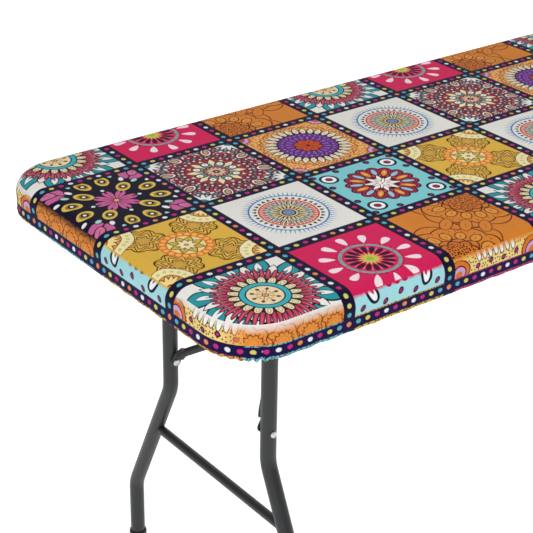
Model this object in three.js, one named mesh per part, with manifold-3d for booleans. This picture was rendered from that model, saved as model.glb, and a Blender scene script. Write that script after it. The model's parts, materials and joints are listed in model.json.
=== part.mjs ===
// Folding table with wishbone legs under a fitted, elasticated tablecloth.
// Millimetres, +Z up. The origin is on the floor below the middle of the table.
// +X runs along the table, the front leg set stands at -X and the rear one at +X.
import * as THREE from 'three';
import * as BufferGeometryUtils from 'three/addons/utils/BufferGeometryUtils.js';
import Module from 'manifold-3d';

const wasm = await Module();
wasm.setup();

// ---- driving dimensions ----
const CORNER_FACETS = 5;         // flats in a quarter turn of a plan corner
const ROUND_FACETS = 3;          // flats in a rounded rim
const LEG_STEPS = 20;            // rings along a leg tube
const LEG_FACETS = 6;            // flats in half a leg tube's turn
const ARM_STEPS = 15;            // rings along a brace arm
const ARM_FACETS = 5;
const SCREW_FACETS = 8;
const BAR_FACETS = 16;           // flats round a pivot bar, a foot cap or a bracket ear
const EYE_FACETS = 8;            // flats in half an eye's or a ring's turn
const PIN_FACETS = 12;           // flats round a pin, a rivet or a small tube
const GAP = 0.3;                 // clearance between pieces that touch
const LAP = 1;                   // how far two parts of one piece run into each other
const CUT = 5;                   // how far a cut runs past the piece that it cuts
const TABLE_LENGTH = 1828;       // moulded table top, without the cloth
const TABLE_WIDTH = 608;
const TABLE_HEIGHT = 740;        // floor to the cloth's upper face
const CORNER_RADIUS = 80;        // plan corner of the table top
const EDGE_RADIUS = 23;          // rounding between the top face and the rim
const RIM_DEPTH = 50;            // height of the moulded rim
const RIM_WIDTH = 30;            // rim wall, from the outside to the recess
const RIM_FOOT_RADIUS = 8;       // rounding under the rim
const PLATE_THICKNESS = 27;      // double wall above the recess

const CLOTH = 0.9;               // cloth thickness
const SKIRT_SLACK = 6.6;         // free height between the rim and the skirt's turned-in flap
const RAIL_STAND = 2.8;          // how far a rail may stand below the rim before the skirt follows it
const SKIRT_FOOT_RADIUS = 10;    // how the skirt turns under the rim
const FLAP_WIDTH = 31;           // skirt turned in under the rim
const HEM_WIDTH = 14;            // casing sewn along the flap
const ELASTIC_WIDTH = 8;
const ELASTIC_THICKNESS = 1.4;
const ELASTIC_PLAY = 1;          // free width beside the elastic
const HEM_STAND = 1;             // the casing stands this far below the skirt

const LEG_INSET = 186;           // short edge of the table to the leg set
const LEG_TUBE = 24;             // outside diameter
const LEG_WALL = 1.5;
const LEG_TOP_SPACING = 252;     // between the upper leg centres
const LEG_FOOT_SPACING = 472;    // between the feet's centres
const LEG_UPPER_BEND = 381;      // heights of the two bends
const LEG_LOWER_BEND = 140;
const BEND_RADIUS = 65;
const PIVOT_CLEARANCE = 4.8;     // recess ceiling to the pivot bar
const PIVOT_BAR_TUBE = 22;
const PIVOT_BAR_WALL = 1.5;
const BUSH_STUB = 13;            // diameter of the plastic stub in the rail's hole
const BUSH_FLANGE = 16;
const BUSH_PLUG_LENGTH = 15;     // bush inside the pivot bar
const BUSH_PROUD = 2;            // the stub stands out of the rail by this much
const CROSSBAR_TUBE = 15;
const CROSSBAR_WALL = 1.2;
const CROSSBAR_HEIGHT = 286;
const FOOT_CAP_TUBE = 30;
const FOOT_CAP_HEIGHT = 39;
const FOOT_CAP_SOLE = 5;
const FOOT_CAP_SHOE = 4;         // height of the rounded foot
const FOOT_CAP_DRAFT = 0.6;      // the cap narrows this much to its collar

const BRACE_TUBE = 13;
const BRACE_RIVET_HEIGHT = 435;  // brace pivot on the legs
const BRACE_REACH = 340;         // pivot bar to link bracket
const BRACE_NECK = 48;           // stretch where both arms run side by side
const EYE_RADIUS = 9;
const EYE_THICKNESS = 4;
const EYE_TONGUE = 22;
const EYE_TAPER = 0.8;           // tongue's width as a share of the eye's
const EYE_PLAY = 0.5;            // knee eye to the link's side
const ARM_RISE = 0.5;            // radians between the arm's first stretch and the brace line
const ARM_START = 11;            // rivet to the arm's rod
const ARM_SHOULDER = 20;         // rivet to the arm's bend
const ARM_SWEEP = 4;             // the first stretch leans inwards by this much
const ARM_BLEND = 22;            // stretch in which an arm turns into the neck
const ARM_BEND_RADIUS = 12;
const ARM_END = 8;               // rod's end to the knee axis
const LINK_OVERHANG = 8;         // link beyond the axis at either end
const TIE_LENGTH = 10;           // plate across both arms
const TIE_BACK = 75;             // knee axis to the tie, clear of the link's sweep
const TIE_MARGIN = 2;            // the tie ends this far inside the arms' outer sides
const TIE_SHEET = 2.4;
const RIVET_SHANK = 6;
const RIVET_HEAD = 11;
const RIVET_HEAD_HEIGHT = 2.2;
const KNEE_HEAD = 10;
const RING_LENGTH = 18;
const RING_WALL = 2.2;
const RING_PARK = 105;           // knee to the parked ring's middle
const RING_ABOVE = 3.5;          // ring to the arms, square to the table
const RING_BESIDE = 1;           // ring to the arms, across the table

const RAIL_OVERHANG = 40;        // rail beyond the pivot bar
const RAIL_SHEET = 1.4;
const RAIL_FLANGE = 15;
const RAIL_DEPTH = 25.5;
const RAIL_LIP = 5;
const RAIL_GAP = 6.6;            // recess wall to the rail's web
const RAIL_SCREWS = 5;
const RAIL_SCREW_END = 88;       // rail's end to its outermost screws
const SCREW_SHANK = 4;
const SCREW_LENGTH = 14;
const SCREW_HEAD = 8;
const SCREW_HEAD_HEIGHT = 2;
const SCREW_CROWN = 0.7;         // flat of the screw head as a share of its width
const SCREW_BEVEL = 0.45;        // height where the head starts to narrow, as a share of it
const BRACKET_LENGTH = 66;
const BRACKET_WIDTH = 30;
const BRACKET_SHEET = 1.6;
const BRACKET_EAR = 22;
const BRACKET_EAR_SHEET = 2;
const BRACKET_PLAY = 1;          // ear to the link's side
const BRACKET_PIN_HEAD = 10;
const BRACKET_PIN_HEAD_HEIGHT = 1.8;
const BRACKET_SCREW_OFFSET = 24;

// ---- sizes that follow ----
const clothOffset = CLOTH + GAP;
const topOfTable = TABLE_HEIGHT - clothOffset;
const rimFoot = topOfTable - RIM_DEPTH;
const recessCeiling = topOfTable - PLATE_THICKNESS;
const railTop = recessCeiling - GAP;
const skirtFoot = Math.min(rimFoot, railTop - RAIL_DEPTH + RAIL_STAND) - clothOffset - SKIRT_SLACK;
const pivotHeight = recessCeiling - PIVOT_CLEARANCE - PIVOT_BAR_TUBE / 2;
const legX = TABLE_LENGTH / 2 - LEG_INSET;
const legTopY = LEG_TOP_SPACING / 2;
const legFootY = LEG_FOOT_SPACING / 2;
const legRadius = LEG_TUBE / 2;
const braceRadius = BRACE_TUBE / 2;
const eyeInnerY = braceRadius + EYE_PLAY;
const neckY = eyeInnerY + LAP + braceRadius;
const braceDrop = pivotHeight - BRACE_RIVET_HEIGHT;
const braceLine = Math.hypot(braceDrop, BRACE_REACH);
const armLength = (braceLine - (BRACE_REACH - braceDrop)) / 2;
const braceAngle = Math.atan2(braceDrop, BRACE_REACH);
const railLength = 2 * (legX + RAIL_OVERHANG);
const railWebY = TABLE_WIDTH / 2 - RIM_WIDTH - RAIL_GAP;
const barHalf = railWebY - RAIL_LIP - GAP;

// ---- materials ----
function material(color, roughness, metalness) {
  return new THREE.MeshStandardMaterial({ color, roughness, metalness });
}
const clothMaterial = material(0x4a2450, 0.75, 0);
const hemMaterial = material(0x1e0d3a, 0.8, 0);
const elasticMaterial = material(0xe8e6e0, 0.85, 0);
const plasticMaterial = material(0xe4e1da, 0.55, 0);
const powderMaterial = material(0x3c3c3f, 0.45, 0.3);
const zincMaterial = material(0xb8babc, 0.35, 0.9);
const capMaterial = material(0x101011, 0.6, 0);

// ---- solids ----
function solid(geometry) {
  const bare = geometry.clone();
  bare.deleteAttribute('normal');
  bare.deleteAttribute('uv');
  const merged = BufferGeometryUtils.mergeVertices(bare, 1e-4);
  return new wasm.Manifold(new wasm.Mesh({
    numProp: 3,
    vertProperties: new Float32Array(merged.attributes.position.array),
    triVerts: new Uint32Array(merged.index.array),
  }));
}

function geometryOf(manifold) {
  const mesh = manifold.getMesh();
  const geometry = new THREE.BufferGeometry();
  geometry.setAttribute('position', new THREE.BufferAttribute(mesh.vertProperties, 3));
  geometry.setIndex(new THREE.BufferAttribute(mesh.triVerts, 1));
  return geometry;
}

function box(x0, x1, y0, y1, z0, z1) {
  const geometry = new THREE.BoxGeometry(x1 - x0, y1 - y0, z1 - z0);
  geometry.translate((x0 + x1) / 2, (y0 + y1) / 2, (z0 + z1) / 2);
  return solid(geometry);
}

// Upright cylinder from z0 to z1, its axis through (x, y).
function post(radius, x, y, z0, z1, sides) {
  const geometry = new THREE.CylinderGeometry(radius, radius, z1 - z0, sides);
  geometry.rotateX(Math.PI / 2);
  geometry.translate(x, y, (z0 + z1) / 2);
  return solid(geometry);
}

// Cylinder along Y from y0 to y1, its axis through (x, z).
function pin(radius, x, z, y0, y1, sides = PIN_FACETS) {
  const geometry = new THREE.CylinderGeometry(radius, radius, Math.abs(y1 - y0), sides);
  geometry.translate(x, (y0 + y1) / 2, z);
  return solid(geometry);
}

function roundedRectangle(length, width, radius) {
  const x = length / 2;
  const y = width / 2;
  const shape = new THREE.Shape();
  shape.moveTo(-x + radius, -y);
  shape.lineTo(x - radius, -y);
  shape.absarc(x - radius, -y + radius, radius, -Math.PI / 2, 0);
  shape.lineTo(x, y - radius);
  shape.absarc(x - radius, y - radius, radius, 0, Math.PI / 2);
  shape.lineTo(-x + radius, y);
  shape.absarc(-x + radius, y - radius, radius, Math.PI / 2, Math.PI);
  shape.lineTo(-x, -y + radius);
  shape.absarc(-x + radius, -y + radius, radius, Math.PI, Math.PI * 1.5);
  return shape;
}

// Rounded rectangle from z0 to z1 with both rims rounded by `round`.
function slab(length, width, corner, z0, z1, round = 0) {
  const geometry = new THREE.ExtrudeGeometry(roundedRectangle(length, width, corner), {
    depth: z1 - z0 - 2 * round,
    curveSegments: CORNER_FACETS,
    bevelEnabled: round > 0,
    bevelThickness: round,
    bevelSize: round,
    bevelOffset: -round,
    bevelSegments: ROUND_FACETS,
  });
  geometry.translate(0, 0, z0 + round);
  return solid(geometry);
}

// Slab whose upper and lower rims have their own rounding.
function pillow(length, width, corner, z0, z1, upperRound, lowerRound) {
  const upper = slab(length, width, corner, z0 - 2 * upperRound, z1, upperRound);
  const lower = slab(length, width, corner, z0, z1 + 2 * lowerRound, lowerRound);
  return upper.intersect(lower);
}

// Straight stretches joined by arcs of one radius at the inner points.
function bentPath(points, radius) {
  const path = new THREE.CurvePath();
  let from = points[0];
  for (let i = 1; i < points.length - 1; i += 1) {
    const corner = points[i];
    const before = points[i - 1].clone().sub(corner).normalize();
    const after = points[i + 1].clone().sub(corner).normalize();
    const turn = Math.PI - before.angleTo(after);
    const setback = radius * Math.tan(turn / 2);
    const start = corner.clone().addScaledVector(before, setback);
    const end = corner.clone().addScaledVector(after, setback);
    path.add(new THREE.LineCurve3(from, start));
    path.add(new THREE.QuadraticBezierCurve3(start, corner, end));
    from = end;
  }
  path.add(new THREE.LineCurve3(from, points[points.length - 1]));
  return path;
}

// Round tube, or a solid rod where bore is 0, along a path.
function tube(path, radius, bore, steps, sides) {
  const section = new THREE.Shape();
  section.absarc(0, 0, radius, 0, Math.PI * 2);
  if (bore > 0) {
    const hole = new THREE.Path();
    hole.absarc(0, 0, bore, 0, Math.PI * 2, true);
    section.holes.push(hole);
  }
  return solid(new THREE.ExtrudeGeometry(section, {
    steps,
    curveSegments: sides,
    bevelEnabled: false,
    extrudePath: path,
  }));
}

// Straight tube along Y between y0 and y1 at (x, z).
function crossTube(radius, wall, x, z, y0, y1, sides) {
  const bore = pin(radius - wall, x, z, y0 - CUT, y1 + CUT, sides);
  return pin(radius, x, z, y0, y1, sides).subtract(bore);
}

function addMesh(group, name, shape, finish) {
  const geometry = shape.isBufferGeometry ? shape : geometryOf(shape);
  const mesh = new THREE.Mesh(geometry, finish);
  mesh.name = name;
  group.add(mesh);
  return mesh;
}

// ---- tablecloth ----
function coverSheet() {
  const outer = pillow(TABLE_LENGTH + 2 * clothOffset, TABLE_WIDTH + 2 * clothOffset,
    CORNER_RADIUS + clothOffset, skirtFoot, TABLE_HEIGHT,
    EDGE_RADIUS + clothOffset, SKIRT_FOOT_RADIUS);
  const inner = pillow(TABLE_LENGTH + 2 * GAP, TABLE_WIDTH + 2 * GAP,
    CORNER_RADIUS + GAP, skirtFoot + CLOTH, TABLE_HEIGHT - CLOTH,
    EDGE_RADIUS + GAP, SKIRT_FOOT_RADIUS - CLOTH);
  const opening = slab(TABLE_LENGTH - 2 * FLAP_WIDTH, TABLE_WIDTH - 2 * FLAP_WIDTH,
    CORNER_RADIUS - FLAP_WIDTH, skirtFoot - CUT, skirtFoot + CUT);
  return outer.subtract(inner).subtract(opening);
}

// Ring between two insets from the table's edge, from z0 to z1.
function ringAround(outerInset, innerInset, z0, z1) {
  const outer = slab(TABLE_LENGTH - 2 * outerInset, TABLE_WIDTH - 2 * outerInset,
    CORNER_RADIUS - outerInset, z0, z1);
  const inner = slab(TABLE_LENGTH - 2 * innerInset, TABLE_WIDTH - 2 * innerInset,
    CORNER_RADIUS - innerInset, z0 - CUT, z1 + CUT);
  return outer.subtract(inner);
}

const hemOuter = FLAP_WIDTH + GAP;
const hemInner = hemOuter + HEM_WIDTH;
const hemHeight = 2 * CLOTH + ELASTIC_THICKNESS + 2 * GAP;
const hemFoot = skirtFoot - HEM_STAND;

// Casing folded round the elastic, open towards the skirt.
function hemCasing() {
  const channel = ringAround(hemOuter - CUT, hemInner - CLOTH - GAP,
    hemFoot + CLOTH, hemFoot + hemHeight - CLOTH);
  return ringAround(hemOuter, hemInner, hemFoot, hemFoot + hemHeight).subtract(channel);
}

function elasticBand() {
  const inset = hemInner - CLOTH - 2 * GAP - ELASTIC_PLAY;
  const z0 = hemFoot + CLOTH + GAP;
  return ringAround(inset - ELASTIC_WIDTH, inset, z0, z0 + ELASTIC_THICKNESS);
}

// ---- table top and rails ----
function railScrewPlaces() {
  const places = [];
  const pitch = (railLength - 2 * RAIL_SCREW_END) / (RAIL_SCREWS - 1);
  for (const side of [1, -1]) {
    for (let i = 0; i < RAIL_SCREWS; i += 1) {
      const x = (i - (RAIL_SCREWS - 1) / 2) * pitch;
      places.push({ x, y: side * (railWebY - RAIL_SHEET - RAIL_FLANGE / 2) });
    }
  }
  return places;
}

function bracketScrewPlaces() {
  const places = [];
  for (const end of [-1, 1]) {
    for (const offset of [-BRACKET_SCREW_OFFSET, BRACKET_SCREW_OFFSET]) {
      places.push({ x: end * (legX - BRACE_REACH) + offset, y: 0 });
    }
  }
  return places;
}

function tableTop() {
  let body = pillow(TABLE_LENGTH, TABLE_WIDTH, CORNER_RADIUS, rimFoot, topOfTable,
    EDGE_RADIUS, RIM_FOOT_RADIUS);
  body = body.subtract(slab(TABLE_LENGTH - 2 * RIM_WIDTH, TABLE_WIDTH - 2 * RIM_WIDTH,
    CORNER_RADIUS - RIM_WIDTH, rimFoot - CUT, recessCeiling));
  for (const place of [...railScrewPlaces(), ...bracketScrewPlaces()]) {
    const hole = post(SCREW_SHANK / 2 + GAP, place.x, place.y, recessCeiling - CUT,
      recessCeiling + SCREW_LENGTH, SCREW_FACETS);
    body = body.subtract(hole);
  }
  return body;
}

function sideRail(side) {
  const near = railWebY - RAIL_SHEET - RAIL_FLANGE;
  const lipEdge = railWebY - RAIL_LIP;
  const outline = new THREE.Shape([
    new THREE.Vector2(near, railTop),
    new THREE.Vector2(railWebY, railTop),
    new THREE.Vector2(railWebY, railTop - RAIL_DEPTH),
    new THREE.Vector2(lipEdge, railTop - RAIL_DEPTH),
    new THREE.Vector2(lipEdge, railTop - RAIL_DEPTH + RAIL_SHEET),
    new THREE.Vector2(railWebY - RAIL_SHEET, railTop - RAIL_DEPTH + RAIL_SHEET),
    new THREE.Vector2(railWebY - RAIL_SHEET, railTop - RAIL_SHEET),
    new THREE.Vector2(near, railTop - RAIL_SHEET),
  ]);
  const geometry = new THREE.ExtrudeGeometry(outline, { depth: railLength, bevelEnabled: false });
  geometry.rotateX(Math.PI / 2);
  geometry.rotateZ(Math.PI / 2);
  geometry.translate(-railLength / 2, 0, 0);
  // The outline's first axis is Y and its second Z once the length lies along X.
  let rail = solid(geometry);
  if (side < 0) {
    rail = rail.rotate([0, 0, 180]);
  }
  for (const end of [-1, 1]) {
    const y = side * railWebY;
    rail = rail.subtract(pin(BUSH_STUB / 2 + GAP, end * legX, pivotHeight, y - CUT, y + CUT));
  }
  for (const place of railScrewPlaces()) {
    if (place.y * side > 0) {
      rail = rail.subtract(post(SCREW_SHANK / 2 + GAP, place.x, place.y,
        railTop - CUT, railTop + CUT, SCREW_FACETS));
    }
  }
  return rail;
}

// Pan-head screw pointing up, its head's seat at z = 0.
function screw() {
  const head = SCREW_HEAD / 2;
  const shank = SCREW_SHANK / 2;
  const length = SCREW_LENGTH - GAP;
  const profile = [
    [0, -SCREW_HEAD_HEIGHT],
    [head * SCREW_CROWN, -SCREW_HEAD_HEIGHT],
    [head, -SCREW_HEAD_HEIGHT * SCREW_BEVEL],
    [head, 0],
    [shank, 0],
    [shank, length - shank],
    [0, length],
  ].map(([r, z]) => new THREE.Vector2(r, z));
  const geometry = new THREE.LatheGeometry(profile, SCREW_FACETS);
  geometry.rotateX(Math.PI / 2);
  return solid(geometry);
}

// ---- leg set, in a frame whose +X points to the middle of the table ----
function legPath(side) {
  const points = [
    [legTopY, pivotHeight],
    [legTopY, LEG_UPPER_BEND],
    [legFootY, LEG_LOWER_BEND],
    [legFootY, FOOT_CAP_SOLE + GAP],
  ].map(([y, z]) => new THREE.Vector3(0, side * y, z));
  return bentPath(points, BEND_RADIUS);
}

function leg(side) {
  const body = tube(legPath(side), legRadius, legRadius - LEG_WALL, LEG_STEPS, LEG_FACETS);
  const reach = legRadius + CUT;
  const near = side * (legTopY - reach);
  const far = side * (legTopY + reach);
  const barSaddle = pin(PIVOT_BAR_TUBE / 2 + GAP, 0, pivotHeight, near, far, BAR_FACETS);
  const aboveAxis = box(-reach, reach, Math.min(near, far), Math.max(near, far),
    pivotHeight, pivotHeight + CUT);
  const rivetHole = pin(RIVET_SHANK / 2 + GAP, 0, BRACE_RIVET_HEIGHT, near, far);
  return body.subtract(barSaddle).subtract(aboveAxis).subtract(rivetHole);
}

function crossbar() {
  const lean = (LEG_UPPER_BEND - CROSSBAR_HEIGHT) / (LEG_UPPER_BEND - LEG_LOWER_BEND);
  const reach = legTopY + (legFootY - legTopY) * lean;
  let body = crossTube(CROSSBAR_TUBE / 2, CROSSBAR_WALL, 0, CROSSBAR_HEIGHT,
    -reach, reach, PIN_FACETS);
  for (const side of [1, -1]) {
    body = body.subtract(tube(legPath(side), legRadius + GAP, 0, LEG_STEPS, LEG_FACETS));
  }
  return body;
}

function footCap() {
  const outer = FOOT_CAP_TUBE / 2;
  const inner = legRadius + GAP;
  const profile = [
    [0, 0],
    [outer - FOOT_CAP_SHOE * 0.75, 0],
    [outer - FOOT_CAP_SHOE * 0.2, FOOT_CAP_SHOE * 0.3],
    [outer, FOOT_CAP_SHOE],
    [outer - FOOT_CAP_DRAFT, FOOT_CAP_HEIGHT - 2 * FOOT_CAP_DRAFT],
    [outer - 2.5 * FOOT_CAP_DRAFT, FOOT_CAP_HEIGHT],
    [inner, FOOT_CAP_HEIGHT],
    [inner, FOOT_CAP_SOLE],
    [0, FOOT_CAP_SOLE],
  ].map(([r, z]) => new THREE.Vector2(r, z));
  const geometry = new THREE.LatheGeometry(profile, BAR_FACETS);
  geometry.rotateX(Math.PI / 2);
  return solid(geometry);
}

function pivotBush(side) {
  const plugRadius = PIVOT_BAR_TUBE / 2 - PIVOT_BAR_WALL - GAP;
  const flangeTo = railWebY - RAIL_SHEET - GAP;
  const plug = pin(plugRadius, 0, pivotHeight, side * (barHalf - BUSH_PLUG_LENGTH), side * barHalf);
  const flange = pin(BUSH_FLANGE / 2, 0, pivotHeight, side * (barHalf - LAP), side * flangeTo);
  const stub = pin(BUSH_STUB / 2, 0, pivotHeight, side * (barHalf - LAP), side * (railWebY + BUSH_PROUD));
  return plug.add(flange).add(stub);
}

// Brace coordinates: u runs from the rivet to the knee, n is square to it and points up.
function braceToWorld(u, n, y) {
  const cos = Math.cos(braceAngle);
  const sin = Math.sin(braceAngle);
  return new THREE.Vector3(u * cos - n * sin, y, BRACE_RIVET_HEIGHT + u * sin + n * cos);
}

// Flattened tube end: a stadium of `length` from (u, n) in the direction `angle`.
function eye(u, n, angle, length, y0, y1) {
  const shape = new THREE.Shape();
  shape.absarc(0, 0, EYE_RADIUS, Math.PI / 2, Math.PI * 1.5);
  shape.lineTo(length, -EYE_RADIUS * EYE_TAPER);
  shape.lineTo(length, EYE_RADIUS * EYE_TAPER);
  const geometry = new THREE.ExtrudeGeometry(shape, {
    depth: Math.abs(y1 - y0),
    bevelEnabled: false,
    curveSegments: EYE_FACETS,
  });
  geometry.rotateX(Math.PI / 2);
  geometry.rotateY(-(braceAngle + angle));
  const place = braceToWorld(u, n, Math.max(y0, y1));
  geometry.translate(place.x, place.y, place.z);
  return solid(geometry);
}

const rivetEyeY = legTopY - legRadius - GAP;

// Corners of an arm's centre line as [u, n, y], from the rivet to the knee.
function armLine() {
  const lowerY = rivetEyeY - EYE_THICKNESS / 2 - braceRadius;
  const neckStart = armLength - BRACE_NECK;
  return [
    [ARM_START * Math.cos(ARM_RISE), ARM_START * Math.sin(ARM_RISE), lowerY],
    [ARM_SHOULDER * Math.cos(ARM_RISE), ARM_SHOULDER * Math.sin(ARM_RISE), lowerY - ARM_SWEEP],
    [neckStart - ARM_BLEND / 2, 0, neckY + braceRadius],
    [neckStart + ARM_BLEND / 2, 0, neckY],
    [armLength - ARM_END, 0, neckY],
  ];
}

function braceArm(side) {
  const points = armLine().map(([u, n, y]) => braceToWorld(u, n, side * y));
  const rod = tube(bentPath(points, ARM_BEND_RADIUS), braceRadius, 0, ARM_STEPS, ARM_FACETS);
  const rivetEye = eye(0, 0, ARM_RISE, EYE_TONGUE, side * rivetEyeY, side * (rivetEyeY - EYE_THICKNESS));
  const kneeEye = eye(armLength, 0, Math.PI, EYE_TONGUE,
    side * eyeInnerY, side * (eyeInnerY + EYE_THICKNESS));
  let arm = rod.add(rivetEye).add(kneeEye);
  const low = braceToWorld(0, 0, 0);
  const high = braceToWorld(armLength, 0, 0);
  const hole = RIVET_SHANK / 2 + GAP;
  arm = arm.subtract(pin(hole, low.x, low.z,
    side * (rivetEyeY - EYE_THICKNESS - CUT), side * (rivetEyeY + CUT)));
  return arm.subtract(pin(hole, high.x, high.z,
    side * (eyeInnerY - LAP), side * (eyeInnerY + EYE_THICKNESS + CUT)));
}

// Plate across both arms, on top of them where they spread, clear of the link's sweep.
function braceTie() {
  const [, shoulder, spread] = armLine();
  const u = armLength - TIE_BACK;
  const share = (spread[0] - u + TIE_LENGTH / 2) / (spread[0] - shoulder[0]);
  const rise = share * shoulder[1];
  const armY = spread[2] + share * (shoulder[2] - spread[2]);
  const half = armY + braceRadius - TIE_MARGIN;
  const geometry = new THREE.BoxGeometry(TIE_LENGTH, 2 * half, TIE_SHEET);
  geometry.rotateY(-braceAngle);
  const place = braceToWorld(u, rise + braceRadius + GAP + TIE_SHEET / 2, 0);
  geometry.translate(place.x, place.y, place.z);
  return solid(geometry);
}

// Rivet along Y through a leg tube and a brace eye.
function braceRivet(side) {
  const place = braceToWorld(0, 0, 0);
  const inside = rivetEyeY - EYE_THICKNESS - GAP;
  const outside = legTopY + legRadius + GAP;
  const shank = pin(RIVET_SHANK / 2, place.x, place.z, side * (inside - LAP), side * (outside + LAP));
  const innerHead = pin(RIVET_HEAD / 2, place.x, place.z,
    side * (inside - RIVET_HEAD_HEIGHT), side * inside);
  const outerHead = pin(RIVET_HEAD / 2, place.x, place.z,
    side * outside, side * (outside + RIVET_HEAD_HEIGHT));
  return shank.add(innerHead).add(outerHead);
}

// Stub pin in one arm's knee eye; it stops short of the link.
function kneePin(side) {
  const place = braceToWorld(armLength, 0, 0);
  const headFrom = eyeInnerY + EYE_THICKNESS + GAP;
  const shank = pin(RIVET_SHANK / 2, place.x, place.z, side * eyeInnerY, side * (headFrom + LAP));
  const head = pin(KNEE_HEAD / 2, place.x, place.z, side * headFrom, side * (headFrom + RIVET_HEAD_HEIGHT));
  return shank.add(head);
}

// Upper link: a straight tube with a cross hole at the knee and at the bracket.
function braceLink() {
  const from = braceToWorld(armLength - LINK_OVERHANG, 0, 0);
  const to = braceToWorld(braceLine + LINK_OVERHANG, 0, 0);
  let body = tube(new THREE.LineCurve3(from, to), braceRadius, 0, 1, LEG_FACETS);
  for (const u of [armLength, braceLine]) {
    const place = braceToWorld(u, 0, 0);
    body = body.subtract(pin(RIVET_SHANK / 2 + GAP, place.x, place.z,
      -braceRadius - CUT, braceRadius + CUT));
  }
  return body;
}

// Flat oval ring that slides on the link and drops over the knee to lock it.
function lockRing() {
  const halfHeight = braceRadius + RING_ABOVE;
  const halfWidth = neckY + braceRadius + RING_BESIDE;
  const oval = (grow) => {
    const flat = halfWidth - halfHeight;
    const radius = halfHeight + grow;
    const shape = new THREE.Shape();
    shape.absarc(flat, 0, radius, -Math.PI / 2, Math.PI / 2);
    shape.absarc(-flat, 0, radius, Math.PI / 2, Math.PI * 1.5);
    return shape;
  };
  const extrude = (shape, depth) => {
    const geometry = new THREE.ExtrudeGeometry(shape, {
      depth,
      bevelEnabled: false,
      curveSegments: EYE_FACETS,
    });
    geometry.translate(0, 0, -depth / 2);
    geometry.rotateZ(Math.PI / 2);
    geometry.rotateY(Math.PI / 2 - braceAngle);
    const place = braceToWorld(armLength + RING_PARK, 0, 0);
    geometry.translate(place.x, place.y, place.z);
    return solid(geometry);
  };
  return extrude(oval(RING_WALL), RING_LENGTH).subtract(extrude(oval(0), RING_LENGTH + 2 * CUT));
}

// Folded sheet bracket under the table top; two ears carry the link's pin.
function linkBracket() {
  const x = BRACE_REACH;
  const base = box(x - BRACKET_LENGTH / 2, x + BRACKET_LENGTH / 2, -BRACKET_WIDTH / 2, BRACKET_WIDTH / 2,
    railTop - BRACKET_SHEET, railTop);
  const half = BRACKET_EAR / 2;
  const earFrom = braceRadius + BRACKET_PLAY;
  let body = base;
  for (const side of [1, -1]) {
    const y0 = Math.min(side * earFrom, side * (earFrom + BRACKET_EAR_SHEET));
    const y1 = y0 + BRACKET_EAR_SHEET;
    const aboveAxis = box(x - half - CUT, x + half + CUT, y0 - CUT, y1 + CUT,
      pivotHeight + LAP, pivotHeight + half + CUT);
    body = body.add(box(x - half, x + half, y0, y1, pivotHeight, railTop - BRACKET_SHEET / 2));
    body = body.add(pin(half, x, pivotHeight, y0, y1, BAR_FACETS).subtract(aboveAxis));
  }
  body = body.subtract(pin(RIVET_SHANK / 2 + GAP, x, pivotHeight,
    -BRACKET_WIDTH / 2 - CUT, BRACKET_WIDTH / 2 + CUT));
  for (const offset of [-BRACKET_SCREW_OFFSET, BRACKET_SCREW_OFFSET]) {
    body = body.subtract(post(SCREW_SHANK / 2 + GAP, x + offset, 0,
      railTop - CUT, railTop + CUT, SCREW_FACETS));
  }
  return body;
}

function bracketPin() {
  const from = braceRadius + BRACKET_PLAY + BRACKET_EAR_SHEET + GAP;
  const to = from + BRACKET_PIN_HEAD_HEIGHT;
  const shank = pin(RIVET_SHANK / 2, BRACE_REACH, pivotHeight, -from - LAP, from + LAP);
  const left = pin(BRACKET_PIN_HEAD / 2, BRACE_REACH, pivotHeight, from, to);
  const right = pin(BRACKET_PIN_HEAD / 2, BRACE_REACH, pivotHeight, -to, -from);
  return shank.add(left).add(right);
}

function legSet(name) {
  const group = new THREE.Group();
  const bar = crossTube(PIVOT_BAR_TUBE / 2, PIVOT_BAR_WALL, 0, pivotHeight,
    -barHalf, barHalf, BAR_FACETS);
  addMesh(group, `${name}_pivot_bar`, bar, powderMaterial);
  addMesh(group, `${name}_crossbar`, crossbar(), powderMaterial);
  for (const [sideName, side] of [['left', 1], ['right', -1]]) {
    addMesh(group, `${name}_leg_${sideName}`, leg(side), powderMaterial);
    const cap = addMesh(group, `${name}_foot_cap_${sideName}`, footCap(), capMaterial);
    cap.position.set(0, side * legFootY, 0);
    addMesh(group, `${name}_pivot_bush_${sideName}`, pivotBush(side), capMaterial);
    addMesh(group, `${name}_brace_arm_${sideName}`, braceArm(side), powderMaterial);
    addMesh(group, `${name}_brace_rivet_${sideName}`, braceRivet(side), zincMaterial);
    addMesh(group, `${name}_knee_pin_${sideName}`, kneePin(side), zincMaterial);
  }
  addMesh(group, `${name}_brace_tie`, braceTie(), powderMaterial);
  addMesh(group, `${name}_brace_link`, braceLink(), powderMaterial);
  addMesh(group, `${name}_lock_ring`, lockRing(), zincMaterial);
  addMesh(group, `${name}_link_bracket`, linkBracket(), powderMaterial);
  addMesh(group, `${name}_bracket_pin`, bracketPin(), zincMaterial);
  return group;
}

// ---- assembly ----
const table = new THREE.Group();
addMesh(table, 'cover_sheet', coverSheet(), clothMaterial);
addMesh(table, 'hem_casing', hemCasing(), hemMaterial);
addMesh(table, 'elastic_band', elasticBand(), elasticMaterial);
addMesh(table, 'table_top', tableTop(), plasticMaterial);
addMesh(table, 'side_rail_left', sideRail(1), powderMaterial);
addMesh(table, 'side_rail_right', sideRail(-1), powderMaterial);

railScrewPlaces().forEach((place, index) => {
  const mesh = addMesh(table, `rail_screw_${index + 1}`, screw(), zincMaterial);
  mesh.position.set(place.x, place.y, railTop - RAIL_SHEET - GAP);
});
bracketScrewPlaces().forEach((place, index) => {
  const mesh = addMesh(table, `bracket_screw_${index + 1}`, screw(), zincMaterial);
  mesh.position.set(place.x, place.y, railTop - BRACKET_SHEET - GAP);
});

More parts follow.
